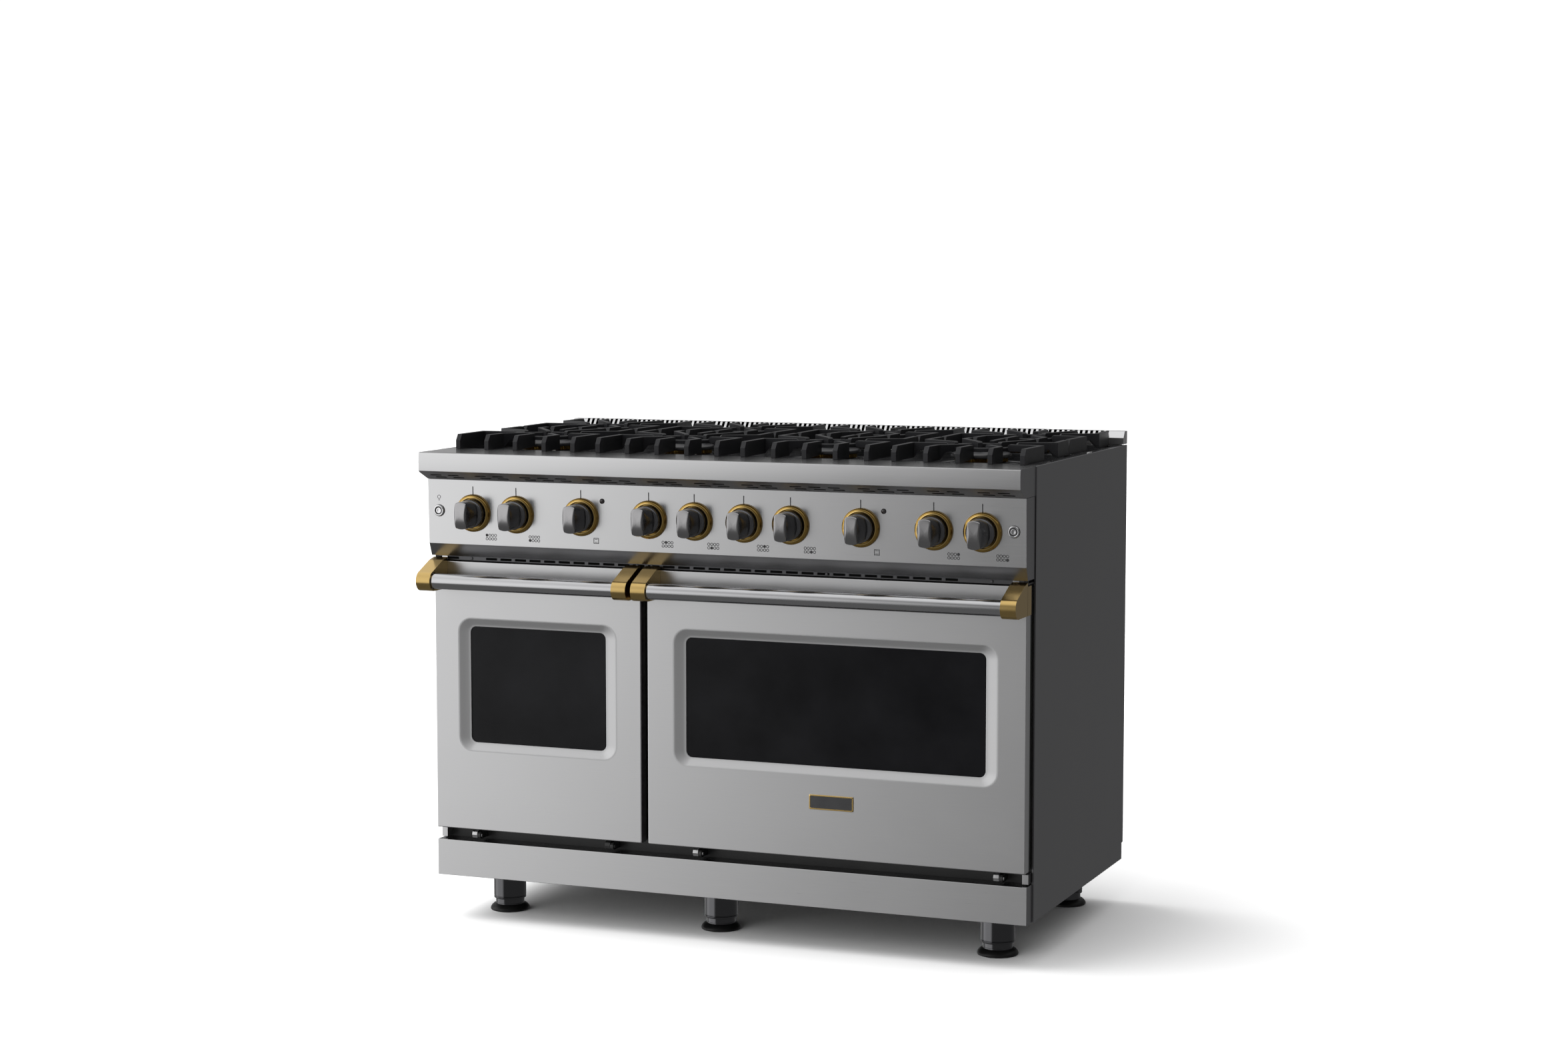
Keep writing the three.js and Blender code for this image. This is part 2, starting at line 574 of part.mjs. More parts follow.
// The body takes the bar in a blind socket, and its outer end runs back as a thin flange that
// wraps the door's edge.
function buildBracket(x, opensRight) {
  const { width, socket: radius, socketDeep, depth, z, nose, flange: thick, flangeRear } = HANDLE;
  const body = alongX(bracketProfile(), x, x + width);
  const mouth = opensRight ? x + width : x;
  const socket = rod(radius, 2 * socketDeep, 'x', [mouth, depth, z], 24);
  const edge = opensRight ? x : x + width - thick;
  const flange = block(edge, edge + thick, flangeRear, DOOR.front + 2 * GAP, z - nose, DOOR.top);
  return body.subtract(socket).add(flange);
}

for (const [side, door] of Object.entries(DOOR_SPANS)) {
  place(`${side}_door_skin`, buildDoorSkin(door), STEEL);
  place(`${side}_door_glass`, buildDoorGlass(door), GLASS_BLACK);
  place(`${side}_door_liner`, buildDoorLiner(door), BLACK);
  const lowX = door.x0 - HANDLE.overhang;
  const highX = door.x1 + HANDLE.overhang - HANDLE.width;
  place(`${side}_handle_bracket_a`, buildBracket(lowX, true), BRASS);
  place(`${side}_handle_bracket_b`, buildBracket(highX, false), BRASS);
  const end = HANDLE.width - HANDLE.socketDeep + 1;
  const barStart = lowX + end;
  const barEnd = highX + HANDLE.width - end;
  const middle = (barStart + barEnd) / 2;
  place(`${side}_handle_bar`, rod(HANDLE.bar, barEnd - barStart, 'x',
    [middle, HANDLE.depth, HANDLE.z], 24), STEEL);
}

// ---------------------------------------------------------------- grates and burners

// Each bar of the casting is a bent line from the grate's edge to a finger near the burner,
// as [x, y] points about the grate's centre, the edge first.
const FRONT_BARS = [
  [[-124, -141.5], [-126, -30], [-58, -22]],
  [[-62, -141.5], [-58, -82], [-12, -36]],
  [[0, -141.5], [2, -66]],
  [[62, -141.5], [64, -85], [27, -44]],
  [[124, -141.5], [127, -34], [62, -28]],
];
const REAR_BARS = [
  [[-124, 141.5], [-127, 60], [-56, 22]],
  [[-64, 141.5], [-68, 106], [-12, 30]],
  [[0, 141.5], [0, 65]],
  [[62, 141.5], [58, 110], [26, 30]],
  [[124, 141.5], [127, 60], [62, 23]],
];

// The plan outline of a bent bar of even width, mitred at its bends.
function barOutline(points, width) {
  const path = points.map(([x, y]) => new THREE.Vector2(x, y));
  const left = [];
  const right = [];
  path.forEach((point, index) => {
    const before = path[Math.max(index - 1, 0)];
    const after = path[Math.min(index + 1, path.length - 1)];
    const inward = index > 0 ? point.clone().sub(before).normalize() : null;
    const outward = index < path.length - 1 ? after.clone().sub(point).normalize() : null;
    const first = inward ?? outward;
    const second = outward ?? inward;
    const mean = first.clone().add(second).normalize();
    const stretch = 1 / Math.max(mean.dot(first), 0.3);
    const normal = new THREE.Vector2(-mean.y, mean.x).multiplyScalar(stretch * width / 2);
    left.push([point.x + normal.x, point.y + normal.y]);
    right.unshift([point.x - normal.x, point.y - normal.y]);
  });
  return [...right, ...left].reverse();
}

function buildGrate() {
  const { bar, half, bottom, top, toe, lean, fingerBottom } = GRATE;
  const solids = [];
  for (const points of [...FRONT_BARS, ...REAR_BARS]) {
    solids.push(upward(barOutline(points, bar), fingerBottom, top));
    solids.push(upward(barOutline(points.slice(0, 2), bar), bottom, fingerBottom));
  }
  const { inner, outer, bottom: ringBottom, top: ringTop } = GRATE_RING;
  const ring = turned([[inner, ringBottom], [outer, ringBottom], [outer, ringTop], [inner, ringTop],
    [inner, ringBottom]], 12);
  solids.push(ring);
  const middle = OVERALL_DEPTH / 2;
  const shaved = [-1, 1].map((end) => alongX([[middle + end * (half + 1), toe],
    [middle + end * half, toe], [middle + end * (half - lean), top + 0.01],
    [middle + end * (half + 1), top + 0.01]], -GRATE.reach, GRATE.reach));
  return cut(joined(solids), shaved);
}

function buildBurner() {
  const { neck, tail, head, cap, capBottom, capTop } = BURNER;
  const floor = PAN.floorTop + GAP;
  return turned([[0, floor - tail], [neck, floor - tail], [neck, floor], [head, floor],
    [head, capBottom], [cap, capBottom], [cap, capTop], [0, capTop]], 16);
}

COLUMN_X.forEach((x, column) => {
  for (const [row, depth] of Object.entries(ROWS)) {
    place(`${row}_grate_${column + 1}`, buildGrate(), IRON, [x, yAt(depth), 0]);
    place(`${row}_burner_${column + 1}`, buildBurner(), BLACK, [x, yAt(depth), 0]);
  }
});

export default range;
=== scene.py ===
"""Looks for the freestanding gas range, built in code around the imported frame."""
import json
import math

import bmesh
import bpy
from mathutils import Matrix, Vector


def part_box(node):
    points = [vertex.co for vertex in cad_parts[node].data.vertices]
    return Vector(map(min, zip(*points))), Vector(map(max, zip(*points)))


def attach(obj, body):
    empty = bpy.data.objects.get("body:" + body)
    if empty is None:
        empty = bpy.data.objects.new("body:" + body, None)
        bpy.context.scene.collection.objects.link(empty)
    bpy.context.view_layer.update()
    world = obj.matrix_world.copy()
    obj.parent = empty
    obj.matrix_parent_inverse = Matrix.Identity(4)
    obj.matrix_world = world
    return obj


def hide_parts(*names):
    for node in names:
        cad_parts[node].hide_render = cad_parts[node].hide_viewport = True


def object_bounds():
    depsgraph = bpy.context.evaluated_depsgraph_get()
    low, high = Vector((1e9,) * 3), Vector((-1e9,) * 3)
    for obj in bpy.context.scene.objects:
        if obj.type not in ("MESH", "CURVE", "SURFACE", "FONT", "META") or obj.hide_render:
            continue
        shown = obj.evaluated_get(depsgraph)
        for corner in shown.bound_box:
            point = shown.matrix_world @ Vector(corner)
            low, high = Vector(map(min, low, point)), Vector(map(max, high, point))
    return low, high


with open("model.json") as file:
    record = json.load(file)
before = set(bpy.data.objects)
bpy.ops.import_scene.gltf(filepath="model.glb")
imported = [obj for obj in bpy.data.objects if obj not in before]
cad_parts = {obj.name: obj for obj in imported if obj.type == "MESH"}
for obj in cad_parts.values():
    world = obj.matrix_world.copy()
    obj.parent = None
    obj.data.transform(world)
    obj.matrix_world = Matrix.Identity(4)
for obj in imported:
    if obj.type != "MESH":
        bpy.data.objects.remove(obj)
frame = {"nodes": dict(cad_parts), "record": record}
CAD_BOX = [list(corner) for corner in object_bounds()]
SCENE = bpy.context.scene
RECORD = frame["record"]
BODY_OF = {node: body for body, members in RECORD["behaviour"]["bodies"].items() for node in members}
ROOT = "range_body"
MM = 0.001
REAR_Y = CAD_BOX[1][1]


# ---------------------------------------- places, in millimetres
def at(x, depth, z):
    """A point from millimetres: x, the distance forward of the rear plane, and the height."""
    return Vector((x * MM, REAR_Y - depth * MM, z * MM))


class Span:
    """A CAD node's box in millimetres: x0, x1, depth d0 to d1 and z0, z1."""

    def __init__(self, node):
        low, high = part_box(node)
        self.x0, self.x1 = low.x / MM, high.x / MM
        self.d0, self.d1 = (REAR_Y - high.y) / MM, (REAR_Y - low.y) / MM
        self.z0, self.z1 = low.z / MM, high.z / MM
        self.x = (self.x0 + self.x1) / 2
        self.d = (self.d0 + self.d1) / 2
        self.z = (self.z0 + self.z1) / 2


PANEL_TOP, PANEL_FOOT = (673.6, 871.6), (670.4, 746.4)
TILT = math.atan2(PANEL_TOP[0] - PANEL_FOOT[0], PANEL_TOP[1] - PANEL_FOOT[1])


def facing(x, depth, z, angle):
    """A frame at a place, in millimetres: X to the right, Z out of the front, raised by an angle."""
    right = Vector((1, 0, 0))
    out = Vector((0, -math.cos(angle), math.sin(angle)))
    turned = Matrix((right, out.cross(right), out)).transposed().to_4x4()
    turned.translation = at(x, depth, z)
    return turned @ Matrix.Scale(MM, 4)


def seat_on_panel(x, z):
    """A frame on the control panel's face: X to the right, Y up the panel, Z out of it."""
    return facing(x, PANEL_FOOT[0] + (z - PANEL_FOOT[1]) * math.tan(TILT), z, -TILT)


def upright(x, depth, z=0.0):
    """A frame standing at a place, in millimetres, with Z up."""
    return Matrix.Translation(at(x, depth, z)) @ Matrix.Scale(MM, 4)


def swung(axis, degrees, x, depth, z):
    """A frame at a place, in millimetres, swung about one of the range's axes."""
    turn = Matrix.Rotation(math.radians(degrees), 4, axis)
    return Matrix.Translation(at(x, depth, z)) @ turn @ Matrix.Scale(MM, 4)


def forward(x, depth, z):
    """A frame at a place, in millimetres, whose Z points out of the front."""
    return facing(x, depth, z, 0.0)


# ---------------------------------------- mesh helpers
def circle(count):
    """The angles of a circle's points."""
    return [2 * math.pi * i / count for i in range(count)]


def loft(bm, loops, wrap=False, mat=0, mats=None):
    """Quads between matching closed loops of points, with flat ends unless the loops wrap round.

    mats gives each band of quads its own material index.
    """
    rings = [[bm.verts.new(p) for p in loop] for loop in loops]
    pairs = list(zip(rings, rings[1:]))
    if wrap:
        pairs.append((rings[-1], rings[0]))
    for index, (low, high) in enumerate(pairs):
        count = len(low)
        for i in range(count):
            j = (i + 1) % count
            face = bm.faces.new((low[i], low[j], high[j], high[i]))
            face.material_index = mats[index] if mats else mat
    if not wrap:
        for end in (0, -1):
            face = bm.faces.new(rings[end])
            face.material_index = mats[end] if mats else mat


def lathe(bm, profile, matrix, sides, mats=None, wrap=False):
    """A turned solid about the frame's Z from (radius, height) points; ends close flat."""
    loops = [[matrix @ Vector((radius * math.cos(angle), radius * math.sin(angle), height))
              for angle in circle(sides)] for radius, height in profile]
    loft(bm, loops, wrap=wrap, mats=mats)


def block(bm, x0, x1, d0, d1, z0, z1, mat=0):
    """A box between two x values, two depths and two heights."""
    loops = [[at(x, d, z) for x, d in ((x0, d0), (x1, d0), (x1, d1), (x0, d1))] for z in (z0, z1)]
    loft(bm, loops, mat=mat)


def prism(bm, outline, matrix, low, high):
    """An outline of (u, v) points in a frame, carried along its Z."""
    loft(bm, [[matrix @ Vector((u, v, w)) for u, v in outline] for w in (low, high)])


def rounded(x0, z0, x1, z1, radius, steps=8):
    """The points of a rectangle with round corners, counter-clockwise."""
    points = []
    centres = [(x1 - radius, z1 - radius), (x0 + radius, z1 - radius),
               (x0 + radius, z0 + radius), (x1 - radius, z0 + radius)]
    for quarter, (cx, cz) in enumerate(centres):
        for i in range(steps + 1):
            angle = (quarter + i / steps) * math.pi / 2
            points.append((cx + radius * math.cos(angle), cz + radius * math.sin(angle)))
    return points


def wire_ring(point, side, other, radius):
    """The points round a wire, at a point on its line, in metres, with its radius in millimetres."""
    return [point + (side * math.cos(a) + other * math.sin(a)) * radius * MM for a in circle(10)]


def tube(bm, path, radius):
    """A straight round wire between two points."""
    tangent = (path[1] - path[0]).normalized()
    side = tangent.orthogonal().normalized()
    loft(bm, [wire_ring(point, side, tangent.cross(side), radius) for point in path])


def closed_wire(bm, points, normal, radius):
    """A round wire along a closed flat loop of points."""
    loops = []
    for i, point in enumerate(points):
        tangent = (points[(i + 1) % len(points)] - points[i - 1]).normalized()
        loops.append(wire_ring(point, tangent.cross(normal), normal, radius))
    loft(bm, loops, wrap=True)


def mesh_of(name, bm, materials):
    """A mesh with its materials made from the working mesh, which is used up."""
    mesh = bpy.data.meshes.new(name)
    bm.to_mesh(mesh)
    bm.free()
    for material in materials:
        mesh.materials.append(material)
    return mesh


def placed(name, data):
    """A new object in the scene."""
    made = bpy.data.objects.new(name, data)
    SCENE.collection.objects.link(made)
    return made


def finish_mesh(name, bm, body, materials, replaces=(), bevel=0.0, segments=2, angle=30):
    """Makes a piece of the mesh: shaded smooth with crisp edges, riding on a body."""
    bmesh.ops.recalc_face_normals(bm, faces=bm.faces)
    mesh = mesh_of(name, bm, materials)
    piece = placed(name, mesh)
    mesh.polygons.foreach_set("use_smooth", [True] * len(mesh.polygons))
    if bevel:
        edge = piece.modifiers.new("edges", "BEVEL")
        edge.width = bevel * MM
        edge.segments = segments
        edge.limit_method = "ANGLE"
        edge.angle_limit = math.radians(angle)
    else:
        mesh.set_sharp_from_angle(angle=math.radians(angle))
    flat = piece.modifiers.new("flat_faces", "WEIGHTED_NORMAL")
    flat.keep_sharp = True
    flat.weight = 100
    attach(piece, body)
    if replaces:
        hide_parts(*replaces)


def turned(name, profile, matrix, sides, body, slot, materials, replaces=(), mats=None, wrap=False, angle=30):
    """A piece that is one turned solid."""
    bm = bmesh.new()
    lathe(bm, profile, matrix, sides, mats=mats, wrap=wrap)
    finish_mesh(name, bm, body, materials, replaces, angle=angle)


def copy_of(node):
    """The CAD node's mesh with its flat faces joined up again."""
    bm = bmesh.new()
    bm.from_mesh(frame["nodes"][node].data)
    bmesh.ops.remove_doubles(bm, verts=bm.verts, dist=2e-6)
    for face in bm.faces:
        face.material_index = 0
    bmesh.ops.dissolve_limit(bm, angle_limit=math.radians(0.6), verts=bm.verts, edges=bm.edges,
                             use_dissolve_boundaries=False)
    return bm


def refined(node, materials, bevel, paint=None, segments=2, cutters=None, angle=30):
    """A copy of a CAD node with worked edges, which stands for it; cut walls get the last material."""
    bm = copy_of(node)
    if paint:
        for face in bm.faces:
            face.material_index = paint(face.calc_center_median() / MM, face.normal)
    if cutters is not None:
        bm = cut_out(bm, cutters, len(materials) - 1)
    name = f"{node}_finish"
    finish_mesh(name, bm, BODY_OF[node], materials, (node,), bevel, segments, angle)


def cut_out(bm, cutters, inner_index):
    """The mesh with the cutters' solids taken out; the new walls get their own material index."""
    for face in cutters.faces:
        face.material_index = inner_index
    bmesh.ops.recalc_face_normals(cutters, faces=cutters.faces)
    blanks = [None] * (inner_index + 1)
    target, tool = [placed("temporary", mesh_of("temporary", source, blanks)) for source in (bm, cutters)]
    modifier = target.modifiers.new("cut", "BOOLEAN")
    modifier.operation = "DIFFERENCE"
    modifier.object = tool
    modifier.solver = "EXACT"
    bpy.context.view_layer.update()
    graph = bpy.context.evaluated_depsgraph_get()
    result = bmesh.new()
    result.from_mesh(target.evaluated_get(graph).to_mesh())
    for holder in (target, tool):
        bpy.data.objects.remove(holder)
    return result


# ---------------------------------------- materials
def new_node(tree, kind, inputs, **settings):
    """A shader node: an input given a socket is linked to it, and any other takes the value."""
    node = tree.nodes.new(kind)
    for key, value in settings.items():
        setattr(node, key, value)
    for name, value in inputs.items():
        if isinstance(value, bpy.types.NodeSocket):
            tree.links.new(value, node.inputs[name])
        else:
            node.inputs[name].default_value = value
    return node


def remapped(tree, value, start, end, low, high, kind="LINEAR"):
    """A value carried from the range start to end into the range low to high."""
    inputs = {"Value": value, "From Min": start, "From Max": end, "To Min": low, "To Max": high}
    return new_node(tree, "ShaderNodeMapRange", inputs, interpolation_type=kind).outputs["Result"]


class Finish:
    """A Principled material with helpers for its procedural detail."""

    def __init__(self, name, color, metallic=0.0, **sockets):
        self.material = bpy.data.materials.new(name)
        self.material.use_nodes = True
        self.tree = self.material.node_tree
        self.shader = self.tree.nodes["Principled BSDF"]
        self.color = color
        self.shader.inputs["Base Color"].default_value = (*color, 1)
        self.shader.inputs["Metallic"].default_value = metallic
        for socket, value in sockets.items():
            self.shader.inputs[socket.replace("_", " ")].default_value = value
        self.place = self.node("ShaderNodeTexCoord", {}).outputs["Object"]

    def node(self, kind, inputs, **settings):
        return new_node(self.tree, kind, inputs, **settings)

    def drive(self, socket, value):
        """Links a value to one of the shader's sockets."""
        self.tree.links.new(value, self.shader.inputs[socket])

    def noise(self, scale, stretch=(1, 1, 1), detail=3.0, offset=0.0):
        """Noise over the object's own coordinates, per metre, stretched along the axes."""
        inputs = {"Scale": stretch, "Location": (offset, offset, offset), "Vector": self.place}
        placed = self.node("ShaderNodeMapping", inputs).outputs["Vector"]
        inputs = {"Scale": scale, "Detail": detail, "Vector": placed}
        return self.node("ShaderNodeTexNoise", inputs).outputs["Fac"]

    def cells(self, scale):
        """The distance to the nearest of many scattered points, per metre."""
        inputs = {"Scale": scale, "Vector": self.place}
        return self.node("ShaderNodeTexVoronoi", inputs).outputs["Distance"]

    def ranged(self, value, low, high, start=0.3, end=0.7):
        return remapped(self.tree, value, start, end, low, high)

    def average(self, first, second, share=0.5):
        inputs = {0: share, 2: first, 3: second}
        return self.node("ShaderNodeMix", inputs, data_type="FLOAT").outputs[0]

    def between(self, factor, low, high):
        """Base colour between two colours."""
        inputs = {0: factor, 6: (*low, 1), 7: (*high, 1)}
        self.drive("Base Color", self.node("ShaderNodeMix", inputs, data_type="RGBA").outputs[2])

    def tint(self, value, low, high):
        """Base colour between two multiples of the finish's own colour."""
        ends = [[min(1.0, c * share) for c in self.color] for share in (low, high)]
        self.between(self.ranged(value, 0, 1), *ends)

    def speckle(self, value, other, edge):
        """Spots of another colour where the value is low."""
        self.between(self.ranged(value, 0, 1, edge * 0.7, edge), other, self.color)

    def rough(self, value, low, high):
        self.drive("Roughness", self.ranged(value, low, high))

    def bump(self, value, distance, strength):
        """Relief, with its distance in millimetres."""
        inputs = {"Strength": strength, "Distance": distance * MM, "Height": value}
        self.drive("Normal", self.node("ShaderNodeBump", inputs).outputs["Normal"])


GRAINS = {"x": (1, 160, 160), "y": (160, 1, 160), "z": (160, 160, 1)}


def brushed(name, color, low, high, grain="x", deep=0.001, shade=(0.965, 1.02), **sockets):
    """Brushed metal: fine streaks along an axis in tone, gloss and relief, and faint handling marks."""
    finish = Finish(name, color, metallic=1.0, **sockets)
    streaks = finish.noise(14, GRAINS[grain], detail=4)
    marks = finish.noise(5, offset=3.1, detail=2)
    finish.tint(finish.average(streaks, marks, 0.35), *shade)
    finish.rough(finish.average(streaks, marks, 0.4), low, high)
    finish.bump(streaks, deep, 0.3)
    return finish.material


def cast(name, color, low, high, deep, grains=700, **sockets):
    """Cast or coated metal: a fine pebble, with gloss that varies slowly over it."""
    finish = Finish(name, color, **sockets)
    pebble = finish.noise(grains, detail=2)
    clouds = finish.noise(14, offset=1.7)
    finish.tint(clouds, 0.8, 1.35)
    finish.rough(finish.average(pebble, clouds), low, high)
    finish.bump(pebble, deep, 0.6)
    return finish.material


STEEL = brushed("brushed_steel", (0.66, 0.66, 0.665), 0.27, 0.33)
BEZEL_STEEL = brushed("bezel_steel", (0.68, 0.68, 0.685), 0.50, 0.56)
LEDGE_STEEL = brushed("ledge_steel", (0.62, 0.62, 0.625), 0.19, 0.25)
PANEL_STEEL = brushed("panel_steel", (0.64, 0.64, 0.645), 0.19, 0.24)
# Painted shade: the ledge's underside is the same steel as its top, given a darker colour and more roughness.
SHADED_UNDER_STEEL = brushed("underside_steel_painted_shade", (0.50, 0.50, 0.51), 0.42, 0.50)
# Painted shade: the panel's lower chamfer and the kick panel's top are the same steel as their faces, given a
# darker colour.
SHADED_FOLD_STEEL = brushed("fold_steel_painted_shade", (0.30, 0.30, 0.305), 0.20, 0.27, deep=0.0005)
# Painted shade: the vent strip is steel, given a very dark colour for the shade it sits in.
SHADED_STRIP = brushed("vent_strip_steel_painted_shade", (0.12, 0.12, 0.125), 0.28, 0.38)
# Painted shade: the sides, ends and back are the same stainless as the front, given a darker colour.
SHADED_SIDE_STEEL = brushed("side_steel", (0.28, 0.28, 0.29), 0.32, 0.40, grain="y")
BAR_STEEL = brushed("bar_steel", (0.53, 0.53, 0.54), 0.13, 0.19, deep=0.0008)
BRASS = brushed("brushed_brass", (0.60, 0.42, 0.16), 0.17, 0.25, shade=(0.9, 1.06))
# Painted shade: the same brass as the brackets, given a darker colour, for the knob bezels and the flame
# rings.
SHADED_BRASS = brushed("turned_brass_painted_shade", (0.43, 0.275, 0.075), 0.15, 0.22, deep=0.0008, shade=(0.88, 1.08))
# Gold for the badge's border; on the crest of each knob bezel it is a painted highlight.
GOLD_AND_RIM_HIGHLIGHT = brushed("badge_gold_and_rim_highlight", (0.70, 0.50, 0.20), 0.14, 0.22, deep=0.0008)
IRON = cast("cast_iron", (0.008, 0.008, 0.009), 0.34, 0.48, deep=0.05, Specular_IOR_Level=0.30)
CAP = cast("burner_cap_enamel", (0.012, 0.012, 0.013), 0.30, 0.42, deep=0.05, grains=420)
BLACK = cast("black_paint", (0.012, 0.012, 0.012), 0.34, 0.48, deep=0.03, grains=520)
PAN = cast("pan_enamel", (0.014, 0.014, 0.015), 0.16, 0.26, deep=0.04, grains=160, Coat_Weight=0.4)
# Painted shade: near black, for slot walls and for the dark sheets put behind slots.
PAINTED_SHADE = cast("slot_painted_shade", (0.003, 0.003, 0.003), 0.8, 0.95, deep=0.01, Specular_IOR_Level=0.02)
INK = cast("printed_ink", (0.02, 0.02, 0.021), 0.45, 0.6, deep=0.01)
RUBBER = cast("foot_pad", (0.005, 0.005, 0.005), 0.30, 0.45, deep=0.03, Specular_IOR_Level=0.25)
CERAMIC = cast("igniter_ceramic", (0.72, 0.70, 0.66), 0.30, 0.42, deep=0.02)
GASKET = cast("door_gasket", (0.10, 0.10, 0.10), 0.75, 0.9, deep=0.5, grains=900)
KNOB_SIDE = cast("knob_gloss", (0.13, 0.13, 0.135), 0.14, 0.22, deep=0.001, metallic=0.95)
KNOB_FACE = brushed("knob_face", (0.37, 0.365, 0.37), 0.15, 0.21, deep=0.0008)
# Painted shade: chrome given a dark colour, for the leg sleeves and foot tubes under the range.
SHADED_CHROME = brushed("chrome_painted_shade", (0.105, 0.105, 0.11), 0.10, 0.17, grain="z", deep=0.0008)
BRIGHT = brushed("bright_chrome", (0.70, 0.70, 0.71), 0.10, 0.18, deep=0.0008)
WIRE = brushed("rack_wire", (0.58, 0.58, 0.59), 0.14, 0.24)
LAMP = cast("lamp_lens", (0.012, 0.010, 0.010), 0.06, 0.12, deep=0.01, Coat_Weight=0.6)


def oven_enamel():
    finish = Finish("oven_enamel", (0.030, 0.040, 0.058), Coat_Weight=0.5)
    finish.speckle(finish.cells(260), (0.30, 0.32, 0.35), 0.20)
    finish.rough(finish.noise(30), 0.14, 0.24)
    finish.bump(finish.noise(240), 0.04, 0.5)
    return finish.material


# Painted shade: the window glass is opaque and near black, for tinted glass with the unlit oven behind it.
def window_glass():
    finish = Finish("window_glass", (0.004, 0.004, 0.0045), Specular_IOR_Level=0.11)
    film = finish.noise(7, detail=4)
    finish.tint(film, 0.7, 1.6)
    finish.rough(film, 0.03, 0.075)
    finish.bump(finish.noise(4, offset=5.2), 0.02, 0.2)
    return finish.material


ENAMEL = oven_enamel()
GLASS_OVER_SHADE = window_glass()


# ---------------------------------------- casing
def bracket_paint(centre, _normal):
    """The chassis's two end brackets in the gap over the kick panel are bare steel."""
    gap_low, gap_high, inner_x, front_y = 160, 180, 590, -238.5
    return 1 if abs(centre.x) > inner_x and gap_low < centre.z < gap_high and centre.y < front_y else 0


def build_chassis():
    """The chassis, cut off just over the side panels' lower edge; the sleeves stand for its leg bosses."""
    bm = copy_of("chassis")
    clear = 1.05
    base = Span("left_side_panel").z0 + clear
    bmesh.ops.bisect_plane(bm, geom=bm.verts[:] + bm.edges[:] + bm.faces[:], dist=1e-7,
                           plane_co=(0, 0, base * MM), plane_no=(0, 0, -1), clear_outer=True)
    rim = [edge for edge in bm.edges if edge.is_boundary]
    bmesh.ops.triangle_fill(bm, edges=rim, use_beauty=True)
    for face in bm.faces:
        face.material_index = bracket_paint(face.calc_center_median() / MM, face.normal)
    finish_mesh("chassis_finish", bm, ROOT, [BLACK, STEEL], ("chassis",), 0.4)


FEET = ("front_left", "front_centre", "front_right", "rear_left", "rear_right")


def build_sleeves():
    """The round leg sleeves, each with a rolled rim and a groove over the bore, in chrome darkened as painted
    shade.
    """
    profile = [(29.6, 89), (29.6, 25.2), (30.2, 24.2), (30.9, 24), (31.5, 24.4), (31.9, 25.4),
               (31.9, 27.4), (31.2, 28.2), (31.2, 29), (32, 29.8), (32, 89)]
    for name in FEET:
        foot = Span(f"{name}_foot")
        turned(f"{name}_sleeve", profile, upright(foot.x, foot.d), 64, ROOT, "chrome", [SHADED_CHROME], wrap=True)


def build_feet():
    """Each levelling foot: a flared pad, a collar and a smooth tube up into the sleeve; the tube is chrome
    darkened as painted shade.
    """
    for name in FEET:
        node = f"{name}_foot"
        foot = Span(node)
        pad = [(36.5, 0), (38.2, 0.5), (39, 2), (38.9, 4), (37.6, 6.8), (35.2, 9.6), (32.6, 11.6),
               (30.2, 12.6), (28.3, 12.8)]
        shank = [(28.3, 14.4), (28.0, 14.9), (28.3, 15.4), (28.3, foot.z1 - 0.6), (27.7, foot.z1)]
        mats = [0] * (len(pad) - 1) + [1] * len(shank)
        turned(f"{node}_finish", pad + shank, upright(foot.x, foot.d), 64, BODY_OF[node], "chrome",
               [RUBBER, SHADED_CHROME], (node,), mats, angle=40)


def slot_groups(counts, pitch, gap):
    """Start positions along X of slots in groups, centred on zero."""
    starts, x = [], 0.0
    for count in counts:
        starts += [x + i * pitch for i in range(count)]
        x += (count - 1) * pitch + gap
    middle = (starts[0] + starts[-1]) / 2
    return [start - middle for start in starts]


def build_ledge():
    """The landing ledge, with staggered pairs of vent slots through its sloping underside; their walls and a
    dark sheet behind them are painted shade.
    """
    ledge = Span("landing_ledge")
    front, back = (ledge.d1 - 4, ledge.z0 + 14.8), (PANEL_TOP[0] + 1, ledge.z0)
    slope = math.atan2(front[1] - back[1], front[0] - back[0])
    cutters = bmesh.new()
    half, thick = 12, 2.5
    for x in slot_groups((2, 2, 3, 3, 2, 2, 2, 3, 3, 2, 2), 37.8, 58):
        for share, shift in ((0.3, 3.25), (0.62, -3.25)):
            depth = back[0] + (front[0] - back[0]) * share
            z = back[1] + (front[1] - back[1]) * share
            matrix = facing(x + shift, depth, z, slope - math.pi / 2)
            prism(cutters, rounded(-half, -thick, half, thick, thick * 0.96, 6), matrix, -6, 6)
    # A dark sheet under the ledge's slots, as painted shade.
    bm = bmesh.new()
    middle = facing(0, (front[0] + back[0]) / 2, (front[1] + back[1]) / 2, slope - math.pi / 2)
    long, wide, fold = ledge.x1 - 8, 13, 1.2
    prism(bm, rounded(-long, -wide, long, wide, 2, 3), middle, -5, -4)
    for v in (-wide, wide - fold):
        prism(bm, rounded(-long, v, long, v + fold, 0.5, 2), middle, -7.5, -4.5)
    finish_mesh("landing_ledge_shade_sheet", bm, ROOT, [PAINTED_SHADE])
    refined("landing_ledge", [LEDGE_STEEL, SHADED_UNDER_STEEL, SHADED_SIDE_STEEL, PAINTED_SHADE], 0.35, paint=ledge_paint,
            cutters=cutters)


